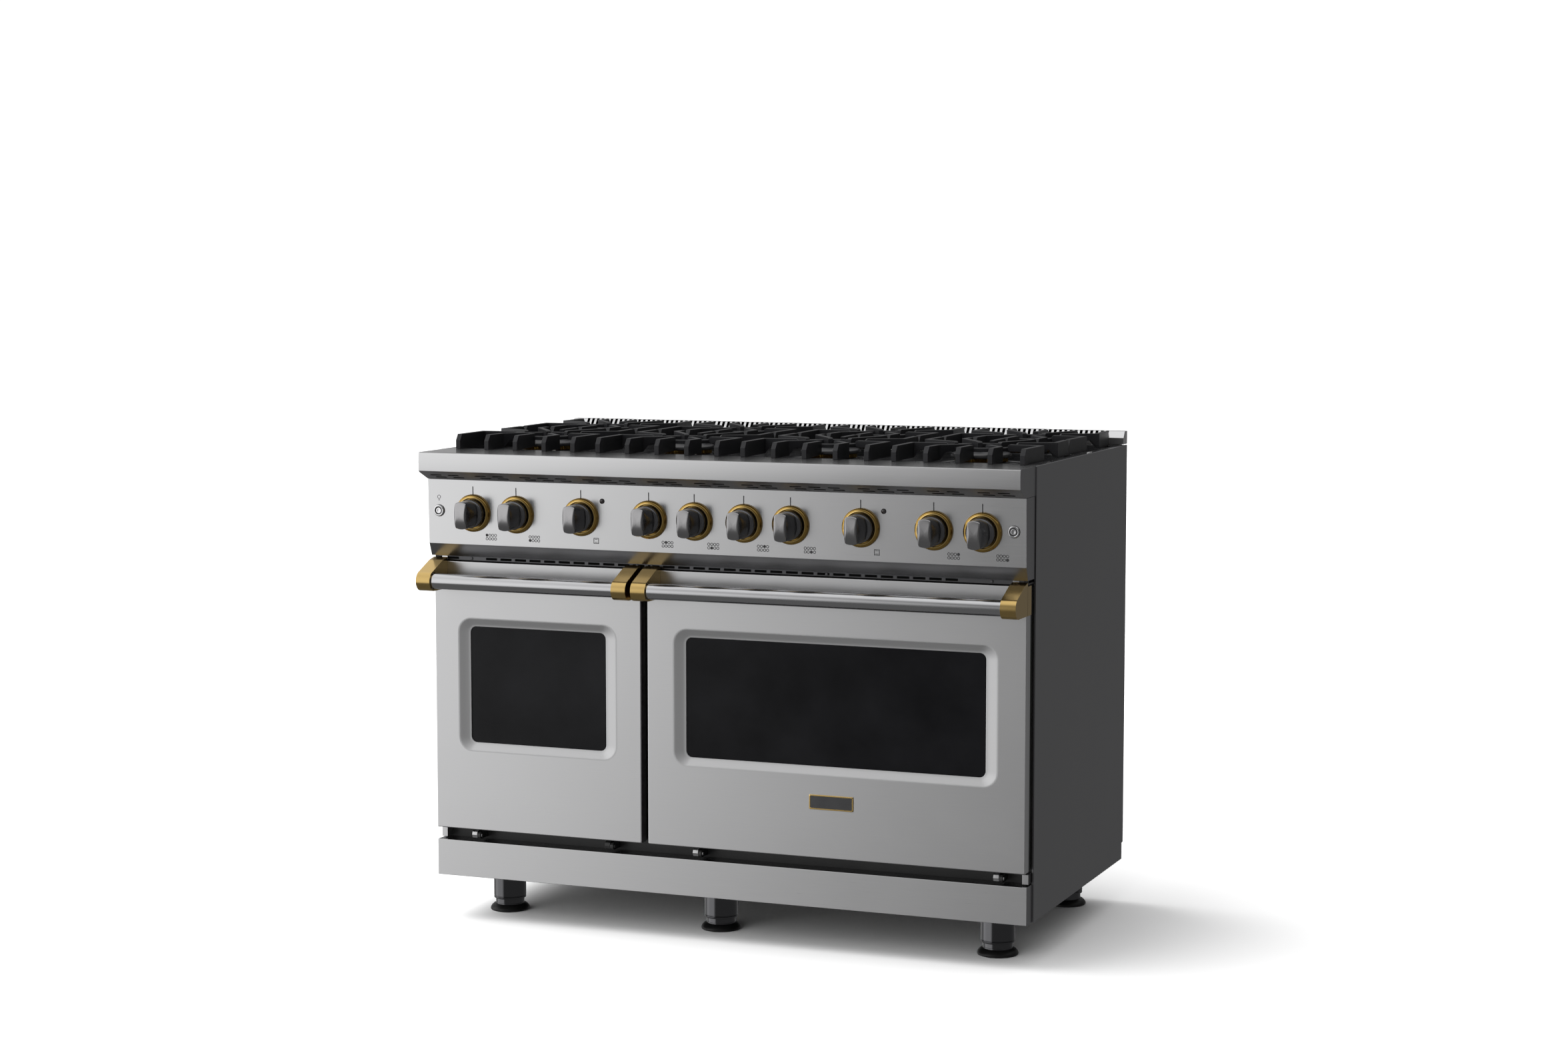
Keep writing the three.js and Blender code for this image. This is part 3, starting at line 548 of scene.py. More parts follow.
def build_trim():
    """The island trim, with rows of upright slots across its nose; the slots' walls are painted shade."""
    trim = Span("island_trim")
    nose, top = (trim.d1, trim.z1 - 13), (trim.d1 - 10, trim.z1)
    angle = math.atan2(nose[0] - top[0], top[1] - nose[1])
    depth, z = (nose[0] + top[0]) / 2, (nose[1] + top[1]) / 2
    pitch, half, reach, open_top = 10.8, 2.7, 6.6, 11.5
    count = int((trim.x1 - trim.x0 - 58) / pitch)
    cutters = bmesh.new()
    for i in range(count):
        x = (i - (count - 1) / 2) * pitch
        outline = rounded(-half, -reach, half, open_top, 2.0, 3)
        prism(cutters, outline, facing(x, depth, z, angle), -7, 4)
    refined("island_trim", [STEEL, PAINTED_SHADE], 0.6, cutters=cutters)


def ledge_paint(_centre, normal):
    """The ledge's ends and its underside are rougher steel, darkened as painted shade; the rest is bright."""
    if abs(normal.x) > 0.9:
        return 2
    return 1 if normal.z < -0.5 else 0


def panel_paint(centre, normal):
    """The control panel's lower chamfer is steel darkened as painted shade; its ends are rougher steel,
    darkened as painted shade.
    """
    if abs(normal.x) > 0.9:
        return 2
    return 1 if centre.z < 745 and normal.y < -0.5 else 0


def kick_paint(_centre, normal):
    """The kick panel's top is steel darkened as painted shade; its ends are rougher steel, darkened as
    painted shade.
    """
    if abs(normal.x) > 0.9:
        return 2
    return 1 if normal.z > 0.9 else 0


def build_casing():
    build_chassis()
    build_sleeves()
    build_feet()
    build_ledge()
    build_trim()
    for side in ("left", "right"):
        # Painted shade: the side panels, and the back panel below, get the darkened side steel.
        refined(f"{side}_side_panel", [SHADED_SIDE_STEEL], 0.6)
    refined("control_panel", [PANEL_STEEL, SHADED_FOLD_STEEL, SHADED_SIDE_STEEL], 0.5, paint=panel_paint, angle=15)
    refined("kick_panel", [STEEL, SHADED_FOLD_STEEL, SHADED_SIDE_STEEL], 1.0, paint=kick_paint)
    refined("cooktop_pan", [PAN], 1.6, segments=3)
    refined("gas_manifold", [STEEL], 0.4)
    refined("back_panel", [SHADED_SIDE_STEEL], 0.3)


# ---------------------------------------- control panel fittings
KNOBS = [name for name in BODY_OF if name.endswith("_knob")]
KNOB_Z = 808.0
BUTTON_Z = 810.7
KNOB_RADIUS = 27.5
KNOB_REACH = 56.5


SKIRT_TOP = 19.5
GRIP_FROM = 19.0


def grip_outline(height, angle):
    """The distance from the knob's axis to its wall at a height and an angle, in millimetres."""
    rise = min(max((height - SKIRT_TOP) / (KNOB_REACH - SKIRT_TOP), 0), 1)
    barrel = KNOB_RADIUS - 0.3 - 1.0 * rise
    radius = barrel
    across = abs(math.cos(angle))
    for _ in range(6):
        v = radius * math.sin(angle) / KNOB_RADIUS
        waist = 10.9 + 1.8 * v * v
        swell = 9.4 * max(1 - 1.12 * v * v, 0) * (1 - rise) ** 0.55
        wall = (waist + swell) / max(across, 1e-3)
        radius = (barrel ** -18 + wall ** -18) ** (-1 / 18)
    return radius


def grip_radius(height, angle):
    """The grip's wall, held inside a cone that opens towards its top."""
    return min(grip_outline(height, angle), 24.5 + 0.12 * (height - GRIP_FROM))


def build_knob(node):
    """A knob: a round skirt, a waisted grip whose end is bowed along its length, and a brushed face."""
    knob = Span(node)
    matrix = seat_on_panel(knob.x, KNOB_Z)
    angles = circle(112)
    crown, bow_from, rim = 4.6, 30, 1.5

    def ring(height, radius_at, bow=0.0):
        points = []
        for angle in angles:
            radius = radius_at(angle)
            u, v = radius * math.cos(angle), radius * math.sin(angle)
            points.append(matrix @ Vector((u, v, height - bow * (v / KNOB_RADIUS) ** 2)))
        return points

    loops = []
    for radius, height in ((25.5, 1.2), (26.9, 1.3), (27.4, 1.9), (27.5, 3), (27.5, 15.6), (27.3, 17),
                           (26.8, 18.1), (25.9, 18.9), (24.8, 19.3)):
        loops.append(ring(height, lambda _angle, r=radius: r))
    loops.append(ring(SKIRT_TOP, lambda angle: min(grip_outline(SKIRT_TOP, angle) + 0.8, 24.6)))
    for height in (19.9, 21, 24, 28, 33, 38, 43, 48, 52, 54.2):
        bow = crown * max(height - bow_from, 0) / (KNOB_REACH - bow_from)
        loops.append(ring(height, lambda angle, h=height: grip_radius(h, angle), bow))
    mats = [0] * (len(loops) - 1)
    for inset, drop in ((0.12, 1.2), (0.4, 0.6), (0.9, 0.2), (rim, 0.0)):
        loops.append(ring(KNOB_REACH - drop, lambda angle, i=inset: grip_radius(KNOB_REACH, angle) - i,
                          crown))
        mats.append(0 if drop > 1 else 1)
    for share in (0.8, 0.6, 0.4, 0.2, 0.04):
        loops.append(ring(KNOB_REACH, lambda angle, s=share: (grip_radius(KNOB_REACH, angle) - rim) * s,
                          crown))
        mats.append(1)
    bm = bmesh.new()
    loft(bm, loops, mats=mats)
    finish_mesh(f"{node}_finish", bm, BODY_OF[node], [KNOB_SIDE, KNOB_FACE], (node,),
                angle=38)


def build_bezel(node):
    """The brass ring on the panel round a knob, in brass darkened as painted shade, with its inner rim in
    brighter gold as a painted highlight.
    """
    knob = Span(node)
    profile = [(25.9, 0.05), (25.9, 0.7), (28.9, 0.8), (29.2, 1.2), (29.2, 6.6), (29.5, 7.3),
               (30.1, 7.7), (30.8, 7.7), (31.4, 7.3), (31.8, 7.2)]
    for i in range(1, 9):
        angle = math.radians(78 - i * 78 / 8)
        profile.append((31.6 + 4.9 * math.cos(angle), 2.1 + 5.2 * math.sin(angle)))
    profile += [(36.5, 0.6), (36.2, 0.05)]
    mats = [0] * 4 + [1] * 5 + [0] * (len(profile) - 9)
    turned(f"{node}_bezel", profile, seat_on_panel(knob.x, KNOB_Z), 96, ROOT, "brass",
           [SHADED_BRASS, GOLD_AND_RIM_HIGHLIGHT], mats=mats, wrap=True, angle=40)


MARK_LOW, MARK_TOP = 0.02, 0.1


def ring_mark(bm, matrix, u, v, outer, inner):
    """A thin printed ring, or a disc where inner is none."""
    profile = [(outer, MARK_LOW), (outer, MARK_TOP)]
    if inner:
        profile += [(inner, MARK_TOP), (inner, MARK_LOW)]
    lathe(bm, profile, matrix @ Matrix.Translation((u, v, 0)), 28, wrap=bool(inner))


def rect_mark(bm, matrix, u0, u1, v0, v1):
    prism(bm, [(u0, v0), (u1, v0), (u1, v1), (u0, v1)], matrix, MARK_LOW, MARK_TOP)


def build_markings():
    """Printed marks: a line over each knob, a plan of the burners beside it, and an oven sign."""
    burners = {1: (0, 1), 2: (0, 0), 3: (1, 1), 4: (1, 0), 5: (2, 1), 6: (2, 0), 7: (3, 1), 8: (3, 0)}
    size, line = 11.0, 1.2
    oven_sign = [(0, size, 0, line), (0, size, size - line, size), (0, line, line, size - line),
                 (size - line, size, line, size - line), (2.4, size - 2.4, size - 3.2, size - 2.3),
                 (2.4, size - 2.4, 2.3, 3.2)]
    bm = bmesh.new()
    for node in KNOBS:
        seat = seat_on_panel(Span(node).x, KNOB_Z)
        rect_mark(bm, seat, -1, 1, 36.5, 51.5)
        if node.startswith("burner"):
            number = int(node.split("_")[1])
            for column in range(4):
                for row in range(2):
                    inner = None if burners[number] == (column, row) else 1.8
                    ring_mark(bm, seat, 28.5 + column * 6.1, -49 + row * 6.9, 2.9, inner)
        else:
            for u0, u1, v0, v1 in oven_sign:
                rect_mark(bm, seat, 25.5 + u0, 25.5 + u1, -50 + v0, -50 + v1)
    seat = seat_on_panel(Span("oven_light_button").x, KNOB_Z)
    ring_mark(bm, seat, 0, 29.2, 3.8, 2.8)
    rect_mark(bm, seat, -1.7, 1.7, 23.6, 24.3)
    rect_mark(bm, seat, -1.3, 1.3, 22.2, 22.9)
    finish_mesh("panel_markings", bm, ROOT, [INK])


def build_lamps():
    """The small dark indicator lamp by each oven knob, in its own collar."""
    profile = [(5.0, 0.02), (5.0, 0.8), (4.5, 1.2), (4.1, 1.0), (3.6, 1.7), (2.4, 2.4), (1.1, 2.8),
               (0.1, 2.9)]
    for side in ("left", "right"):
        knob = Span(f"{side}_oven_knob")
        turned(f"{side}_oven_indicator_lamp", profile, seat_on_panel(knob.x + 44.7, KNOB_Z + 31.7), 40,
               ROOT, "black_frame", [BLACK, LAMP], mats=[0, 0, 0, 1, 1, 1, 1], angle=50)


def build_button(node):
    """A push button: a bright collar, a dark groove and a slightly dished centre."""
    profile = [(13.5, -7.8), (13.5, -5.2), (11.1, -5), (11.1, 2.2), (10.7, 3.1), (9.9, 3.55), (8.2, 3.55),
               (7.5, 3.2), (7.2, 2.4), (7.1, 0.9), (6.1, 0.9), (6.0, 2.5), (5.6, 3.0), (4.8, 3.15),
               (3.2, 3.0), (1.6, 2.92), (0.1, 2.9)]
    turned(f"{node}_finish", profile, seat_on_panel(Span(node).x, BUTTON_Z), 64, BODY_OF[node], "chrome",
           [BRIGHT, BLACK], (node,), [0] * 8 + [1] * 2 + [0] * 6, angle=40)


def build_vent_strip():
    """The slotted strip over the doors, with its screws and end clips; its steel is darkened as painted
    shade, and a dark sheet behind the slots is painted shade.
    """
    low, high, face = 713.2, 721.0, 651.0
    pitch, slot = 31.3, 24.0
    edge = Span("chassis").x1 - 8
    bm = bmesh.new()

    def bar(x0, x1, z0=low + 1.7, z1=high - 1.5):
        block(bm, x0, x1, face + 0.05, face + 0.75, z0, z1)

    # A dark sheet behind the slots, as painted shade.
    block(bm, -edge, edge, face + 0.02, face + 0.1, low + 0.4, high - 0.4, mat=1)
    bar(-edge, edge, low, low + 1.7)
    bar(-edge, edge, high - 1.5, high)
    x = -edge + 103
    bar(-edge + 44, x)
    while x + pitch < edge - 90:
        bar(x + slot, x + pitch)
        x += pitch
    bar(x, edge)
    screw = [(3.1, 0), (3.1, 0.7), (2.4, 1.3), (0.1, 1.5)]
    for x in (-edge + 72, -170, -140, 215, edge - 60):
        lathe(bm, screw, forward(x, face + 0.7, (low + high) / 2), 20)
    finish_mesh("vent_strip", bm, ROOT, [SHADED_STRIP, PAINTED_SHADE], bevel=0.2)
    bm = bmesh.new()
    for sign in (-1, 1):
        x0, x1 = sorted((sign * (edge - 8), sign * (edge - 20)))
        block(bm, x0, x1, face + 0.8, face + 2.6, low + 0.3, high - 0.3)
        block(bm, x0, x1, face - 20, face + 2.6, high - 1.2, high - 0.2)
    finish_mesh("vent_end_clips", bm, ROOT, [BRIGHT], bevel=0.3)


# ---------------------------------------- doors
SHEET = 3.0
# The door skin's loops that form the window bezel: the first one, and how many there are.
BEZEL_FROM, BEZEL_LOOPS = 9, 12


def door_loops(door, glass):
    """The door skin as matching loops: the return, the rolled edge, the face, the bezel and the back."""
    steps, lap, drop, roll = 8, 6.0, 5.0, 1.8
    front, rear, seat = door.d1, door.d0, glass.d1 + 0.3
    window = (glass.x0 + lap, glass.z0 + lap, glass.x1 - lap, glass.z1 - lap)
    side_margin, end_margin, outer_radius, inner_radius = 22.5, 15.5, 27.0, 12.0

    def sheet_loop(inset, depth, radius):
        outline = rounded(door.x0 + inset, door.z0 + inset, door.x1 - inset, door.z1 - inset, radius, steps)
        return [at(x, depth, z) for x, z in outline]

    def window_loop(share, depth):
        """Share 1 is the bezel's outer line and 0 the glass opening."""
        dx, dz = side_margin * share, end_margin * share
        radius = inner_radius + (outer_radius - inner_radius) * share
        outline = rounded(window[0] - dx, window[1] - dz, window[2] + dx, window[3] + dz, radius, steps)
        return [at(x, depth, z) for x, z in outline]

    loops = [sheet_loop(SHEET, rear, 1.0), sheet_loop(0, rear, 1.6)]
    for turn in range(0, 91, 15):
        angle = math.radians(turn)
        loops.append(sheet_loop(roll * (1 - math.cos(angle)), front - roll + roll * math.sin(angle), roll))
    for share, fall in ((1.14, 0), (1.05, 0.03), (1.0, 0.14), (0.94, 0.42), (0.87, 0.85), (0.7, 1.85),
                        (0.5, 3.05), (0.3, 4.22), (0.16, 4.85), (0.08, drop), (0.02, drop + 0.1),
                        (0.0, drop + 0.5)):
        loops.append(window_loop(share, front - fall))
    loops += [window_loop(0.0, seat), window_loop(1.1, seat), window_loop(1.1, front - SHEET)]
    loops.append(sheet_loop(SHEET, front - SHEET, 1.0))
    return loops


def build_door(side):
    skin, glass = Span(f"{side}_door_skin"), Span(f"{side}_door_glass")
    body = f"{side}_door"
    loops = door_loops(skin, glass)
    bezel = range(BEZEL_FROM, BEZEL_FROM + BEZEL_LOOPS)
    bm = bmesh.new()
    loft(bm, loops, wrap=True, mats=[1 if i in bezel else 0 for i in range(len(loops))])
    finish_mesh(f"{side}_door_skin_finish", bm, body, [STEEL, BEZEL_STEEL], (f"{side}_door_skin",),
                angle=50)
    # The glass is opaque near black, as painted shade of the oven behind it.
    refined(f"{side}_door_glass", [GLASS_OVER_SHADE], 0.8)

    def hinge_paint(centre, normal):
        """The hinge tabs under the door are bare steel, but for the left door's right one."""
        tab = 165 < centre.z < skin.z0 + 2 and abs(normal.x) < 0.5
        left_doors_right = -300 < centre.x < -150
        return 1 if tab and not left_doors_right else 0

    refined(f"{side}_door_liner", [BLACK, STEEL], 0.6, paint=hinge_paint)
    build_handle(side)


def bracket_outline(bracket, centre, nose):
    """The bracket's side outline about the bar's centre, as (forward, up) points."""
    rear = Span("left_door_skin").d1 + 0.3 - centre[0]
    top, foot = bracket.z1 - centre[1], bracket.z0 - centre[1]
    corners = [(rear, foot), (rear, top), (675 - centre[0], top - 4.4)]
    tangent = math.radians(60)
    points = list(corners)
    for i in range(31):
        angle = tangent - (tangent + math.pi / 2) * i / 30
        points.append((nose * math.cos(angle), nose * math.sin(angle)))
    count = 128
    rays = sorted({round(math.atan2(v, u), 6) for u, v in points}
                  | {round(-math.pi + 2 * math.pi * i / count, 6) for i in range(count)})
    outline = []
    for angle in rays:
        direction = (math.cos(angle), math.sin(angle))
        best = 1e9
        for (u0, v0), (u1, v1) in zip(points, points[1:] + points[:1]):
            du, dv = u1 - u0, v1 - v0
            cross = direction[0] * dv - direction[1] * du
            if abs(cross) < 1e-9:
                continue
            reach = (u0 * dv - v0 * du) / cross
            share = (u0 * direction[1] - v0 * direction[0]) / cross
            if reach > 0 and -1e-6 <= share <= 1 + 1e-6:
                best = min(best, reach)
        outline.append((best * direction[0], best * direction[1]))
    return rays, outline


def build_bracket(node, bar):
    """A brass bracket with a round nose and a socket for the bar."""
    bracket = Span(node)
    centre = (bar.d, bar.z)
    rays, outline = bracket_outline(bracket, centre, 19.5)
    opens_right = bracket.x < bar.x
    mouth, back = (bracket.x1, bracket.x0) if opens_right else (bracket.x0, bracket.x1)
    into = 1 if opens_right else -1
    socket, deep = 15.95, 21.8

    def loop(x, points):
        return [at(x, centre[0] + u, centre[1] + v) for u, v in points]

    hole = [(socket * math.cos(angle), socket * math.sin(angle)) for angle in rays]
    rim = [(u * 1.05, v * 1.05) for u, v in hole]
    loops = [loop(back, outline), loop(mouth, outline), loop(mouth, rim),
             loop(mouth - into * 0.6, hole), loop(mouth - into * deep, hole)]
    bm = bmesh.new()
    loft(bm, loops)
    door = Span(node.split("_")[0] + "_door_skin")
    edge = sorted((back, back + into * 1.2))
    block(bm, *edge, bracket.d0, door.d1 + 1.5, bracket.z0, door.z1)
    finish_mesh(f"{node}_finish", bm, BODY_OF[node], [BRASS], (node,), bevel=0.45, segments=3)


def build_handle(side):
    """A round bar between two brackets, with a dark groove near each end."""
    node = f"{side}_handle_bar"
    bar = Span(node)
    for end in "ab":
        build_bracket(f"{side}_handle_bracket_{end}", bar)
    radius = (bar.z1 - bar.z0) / 2
    length = bar.x1 - bar.x0
    half = [(radius - 1.2, 0), (radius, 1.2), (radius, 19.2), (radius - 0.9, 19.5), (radius - 0.9, 21.2),
            (radius, 21.6), (radius, length / 3)]
    mats = [0, 0, 0, 1, 0, 0]
    turned(f"{node}_finish", half + [(r, length - x) for r, x in reversed(half)],
           swung("Y", 90, bar.x0, bar.d, bar.z), 72, BODY_OF[node], "steel", [BAR_STEEL, BLACK], (node,),
           mats + [0] + mats[::-1], angle=40)


def build_badge():
    """A plain badge plate on the right door: a gold border round a black field, with no text."""
    door = Span("right_door_skin")
    x0, x1, z0, z1 = door.x - 45.3, door.x + 42.7, 275, 303
    face = door.d1
    loops = []
    for inset, lift, radius in ((0, 0.05, 2.0), (0, 1.3, 2.0), (0.6, 1.9, 1.8), (2.3, 1.9, 1.4),
                                (2.8, 1.3, 1.2)):
        outline = rounded(x0 + inset, z0 + inset, x1 - inset, z1 - inset, radius, 3)
        loops.append([at(x, face + lift, z) for x, z in outline])
    bm = bmesh.new()
    loft(bm, loops)
    field_from = at(0, face + 1.0, 0).y
    for f in bm.faces:
        if len(f.verts) > 4 and f.calc_center_median().y < field_from:
            f.material_index = 1
    finish_mesh("badge_plate", bm, "right_door", [GOLD_AND_RIM_HIGHLIGHT, INK], angle=40)


# ---------------------------------------- grates and burners
# Each bar of a grate as (x, y) points from the grate's middle: the front side's, then the rear side's.
GRATE_BARS = [
    [(-124, -141.5), (-126, -30), (-58, -22)],
    [(-62, -141.5), (-58, -82), (-12, -36)],
    [(0, -141.5), (2, -66)],
    [(62, -141.5), (64, -85), (27, -44)],
    [(124, -141.5), (127, -34), (62, -28)],
    [(-124, 141.5), (-127, 60), (-56, 22)],
    [(-64, 141.5), (-68, 106), (-12, 30)],
    [(0, 141.5), (0, 65)],
    [(62, 141.5), (58, 110), (26, 30)],
    [(124, 141.5), (127, 60), (62, 23)],
]
BAR_WIDTH = 9.5


def bar_section(point, direction, normal_scale, low, high, matrix):
    """Four corners of a bar's upright section, left and right of its line."""
    side = Vector((-direction.y, direction.x)) * (BAR_WIDTH / 2 * normal_scale)
    corners = [(point - side, low), (point + side, low), (point + side, high), (point - side, high)]
    return [matrix @ Vector((p.x, p.y, z)) for p, z in corners]


def build_bar(bm, points, matrix, low, top):
    """One bent bar of a grate: a wall down to the pan, then a raised finger over the burner."""
    path = [Vector(p) for p in points]
    toe, lean, finger = 943.0, 8.0, 941.5
    first = (path[1] - path[0]).normalized()
    sections = [bar_section(path[0], first, 1, low, toe, matrix),
                bar_section(path[0] + first * lean, first, 1, low, top, matrix)]
    if len(path) == 2:
        sections.append(bar_section(path[1], first, 1, low + 3, top, matrix))
    else:
        second = (path[2] - path[1]).normalized()
        mean = (first + second).normalized()
        stretch = 1 / mean.dot(first)
        sections.append(bar_section(path[1], mean, stretch, low, top, matrix))
        ahead = path[1] + second * 15
        sections.append(bar_section(ahead, second, 1, finger, top, matrix))
        tip = path[2]
        sections.append(bar_section(tip - second * 3, second, 1, finger + 0.6, top, matrix))
        sections.append(bar_section(tip, second, 1, finger + 3, top - 2.4, matrix))
    loft(bm, sections)


def build_grate(node):
    grate = Span(node)
    matrix = upright(grate.x, grate.d)
    bm = bmesh.new()
    for points in GRATE_BARS:
        build_bar(bm, points, matrix, grate.z0, grate.z1)
    ring = [(62.6, 942.5), (69.4, 942.5), (70, 943.1), (70, 948.6), (68.6, 950), (63.4, 950), (62, 948.6),
            (62, 943.1)]
    lathe(bm, ring, matrix, 56, wrap=True)
    finish_mesh(f"{node}_finish", bm, BODY_OF[node], [IRON], (node,), bevel=1.25, angle=25)


def ported_ring(bm, matrix, low, high):
    """The burner's brass flame ring, its outer wall cut by upright ports."""
    sides, loops = 160, []
    for radius, height in ((44, low), (50, low), (50, low + 1), (50, high - 1), (49, high), (44, high)):
        ring = []
        for i, angle in enumerate(circle(sides)):
            port = i % 4 in (0, 1) and low + 0.5 < height < high - 0.5
            reach = radius - (3 if port else 0)
            ring.append(matrix @ Vector((reach * math.cos(angle), reach * math.sin(angle), height)))
        loops.append(ring)
    loft(bm, loops, wrap=True)


def build_burner(node):
    """A sealed burner: a bowl in the pan, a ported brass ring, an enamelled cap and an igniter."""
    burner = Span(node)
    matrix = upright(burner.x, burner.d)
    floor, cap_low, cap_top = 914.3, 928.5, burner.z1
    base = [(20, burner.z0), (20, floor), (52, floor), (53.5, floor + 1.2), (52, floor + 3),
            (49, floor + 6.2), (44, floor + 6.6), (44, cap_low - 1), (20, cap_low - 1)]
    turned(f"{node}_base", base, matrix, 64, ROOT, "burner_black", [CAP], (node,), angle=35)
    bm = bmesh.new()
    ported_ring(bm, matrix, floor + 6.7, cap_low - 0.1)
    # The flame ring is in the brass darkened as painted shade.
    finish_mesh(f"{node}_flame_ring", bm, ROOT, [SHADED_BRASS], angle=35)
    cap = [(50, cap_low), (56.6, cap_low), (57.7, cap_low + 0.8), (58, cap_low + 2), (57.4, cap_top - 4.4),
           (55.4, cap_top - 2), (51.5, cap_top - 0.6), (46, cap_top), (38, cap_top - 0.5),
           (24, cap_top - 0.9), (8, cap_top - 1.1), (0.2, cap_top - 1.1)]
    turned(f"{node}_cap", cap, matrix, 72, ROOT, "burner_black", [CAP], angle=50)
    rim = [(82, floor - 0.2), (82, floor + 0.9), (84, floor + 2.2), (87, floor + 2.2), (89, floor + 0.9),
           (89, floor - 0.2)]
    turned(f"{node}_bowl_rim", rim, matrix, 72, ROOT, "side_steel", [PAN], wrap=True, angle=60)
    angle, reach = math.radians(-52), 66
    post = upright(burner.x + reach * math.cos(angle), burner.d - reach * math.sin(angle))
    bm = bmesh.new()
    lathe(bm, [(4.4, floor), (4.4, floor + 2), (3.2, floor + 2.6), (3.0, floor + 12), (2.2, floor + 13.5),
               (0.2, floor + 13.6)], post, 24, mats=[1, 1, 0, 0, 0])
    lathe(bm, [(0.9, floor + 13), (0.9, floor + 17.6), (0.5, floor + 18.4), (0.1, floor + 18.5)], post, 12,
          mats=[1, 1, 1])
    finish_mesh(f"{node}_igniter", bm, ROOT, [CERAMIC, BRIGHT], angle=40)


# ---------------------------------------- ovens
def build_rack(node):
    """A wire rack: a heavy frame wire, fine wires across the depth, and two cross wires under them."""
    rack = Span(node)
    thick, cross, thin = 3.4, 2.4, 2.0
    z = rack.z0 + thick
    left, right, rear, front = rack.x0 + thick, rack.x1 - thick, rack.d0 + thick, rack.d1 - thick
    bm = bmesh.new()
    frame_wire = [at(x, d, z) for x, d in rounded(left, rear, right, front, 14, 5)]
    closed_wire(bm, frame_wire, Vector((0, 0, 1)), thick)
    wires = max(6, round((rack.x1 - rack.x0) / 24))
    for i in range(1, wires):
        x = rack.x0 + (rack.x1 - rack.x0) * i / wires
        tube(bm, [at(x, rear, z + 1.2), at(x, front, z + 1.2)], thin)
    for depth in ((rack.d0 * 2 + rack.d1) / 3, (rack.d0 + rack.d1 * 2) / 3):
        tube(bm, [at(left, depth, z - 0.9), at(right, depth, z - 0.9)], cross)
    finish_mesh(f"{node}_finish", bm, BODY_OF[node], [WIRE], (node,), angle=50)


def build_oven(side):
    """The enamelled oven box, with wire ladders at its sides and a slotted baffle at the rear."""
    node = f"{side}_oven_liner"
    refined(node, [ENAMEL], 1.2)
    oven = Span(node)
    wall, corner = 5.0, 22
    x0, x1 = oven.x0 + wall, oven.x1 - wall
    rear, front = oven.d0 + wall, oven.d1 - 20
    low, high = oven.z0 + wall, oven.z1 - wall
    bm = bmesh.new()
    for x in (x0 + 2.6, x1 - 2.6):
        for depth in (rear + 60, front - 60):
            tube(bm, [at(x, depth, low + 60), at(x, depth, high - 40)], 2.2)
    finish_mesh(f"{side}_oven_ladders", bm, ROOT, [WIRE], angle=50)
    half = min(95, (x1 - x0) / 2 - 50)
    middle = (x0 + x1) / 2
    loops = []
    for inset, lift in ((0, 0.1), (0, 6), (2.5, 8.5), (6, 9)):
        outline = rounded(middle - half + inset, low + 90 + inset, middle + half - inset, high - 60 - inset,
                          corner - inset, 6)
        loops.append([at(x, rear + lift, z) for x, z in outline])
    bm = bmesh.new()
    loft(bm, loops)
    slot = rounded(-half * 0.32, -2.4, half * 0.32, 2.4, 2.2, 4)
    cutters = bmesh.new()
    for row in range(9):
        z = low + 130 + row * (high - low - 230) / 8
        for x in (middle - half * 0.45, middle + half * 0.45):
            prism(cutters, slot, forward(x, rear + 9, z), -5, 3)
    # The slots' cut walls are black, as painted shade.
    bm = cut_out(bm, cutters, 1)
    finish_mesh(f"{side}_oven_baffle", bm, ROOT, [ENAMEL, BLACK], angle=40)


def build_gasket(side):
    """The woven seal round the oven's mouth."""
    oven = Span(f"{side}_oven_liner")
    margin, radius, frame_front = 6, 2.6, 613.2
    outline = rounded(oven.x0 - margin, oven.z0 - margin, oven.x1 + margin, oven.z1 + margin, 14, 6)
    points = [at(x, frame_front + radius, z) for x, z in outline]
    bm = bmesh.new()
    closed_wire(bm, points, Vector((0, -1, 0)), radius)
    finish_mesh(f"{side}_oven_gasket", bm, ROOT, [GASKET], angle=60)


# ---------------------------------------- back
def build_back():
    """Pressed ribs, louvres and screws on the back panel, kept inside its own depth."""
    face = Span("back_panel").d0
    bm = bmesh.new()
    for z in (800, 754):
        for i in range(14):
            x = -520 + i * 80
            block(bm, x - 30, x + 30, face - 0.8, face + 0.2, z - 4, z + 4)
    for x in (-400, 0, 300):
        block(bm, x - 3, x + 3, face - 0.6, face + 0.2, 160, 720)
    # The ribs and louvres are in the side steel darkened as painted shade.
    finish_mesh("back_louvres", bm, ROOT, [SHADED_SIDE_STEEL], bevel=0.3)
    screw = [(4, -0.2), (4, 0.3), (3.2, 0.7), (0.1, 0.85)]
    bm = bmesh.new()
    for x in (-590, -295, 0, 295, 590):
        for z in (112, 400, 660, 908):
            lathe(bm, screw, swung("X", -90, x, face, z), 16)
    finish_mesh("back_screws", bm, ROOT, [STEEL], angle=50)


# ---------------------------------------- assembly
build_casing()
for knob_node in KNOBS:
    build_knob(knob_node)
    build_bezel(knob_node)
build_markings()
build_lamps()
for button_node in ("oven_light_button", "convection_button"):
    build_button(button_node)
build_vent_strip()
for door_side in ("left", "right"):
    build_door(door_side)
    build_oven(door_side)
    build_gasket(door_side)
build_badge()
for grate_node in [name for name in BODY_OF if "_grate_" in name]:
    build_grate(grate_node)
for burner_node in [name for name in BODY_OF if "_burner_" in name]:
    build_burner(burner_node)
for rack_node in [name for name in BODY_OF if "_rack_" in name]:
    build_rack(rack_node)
build_back()


# ---------------------------------------- camera, light and floor
CAMERA_AT = (2.1500, -5.3403, 1.3254)
YAW, PITCH, LENS = 21.79, 5.408, 67.551


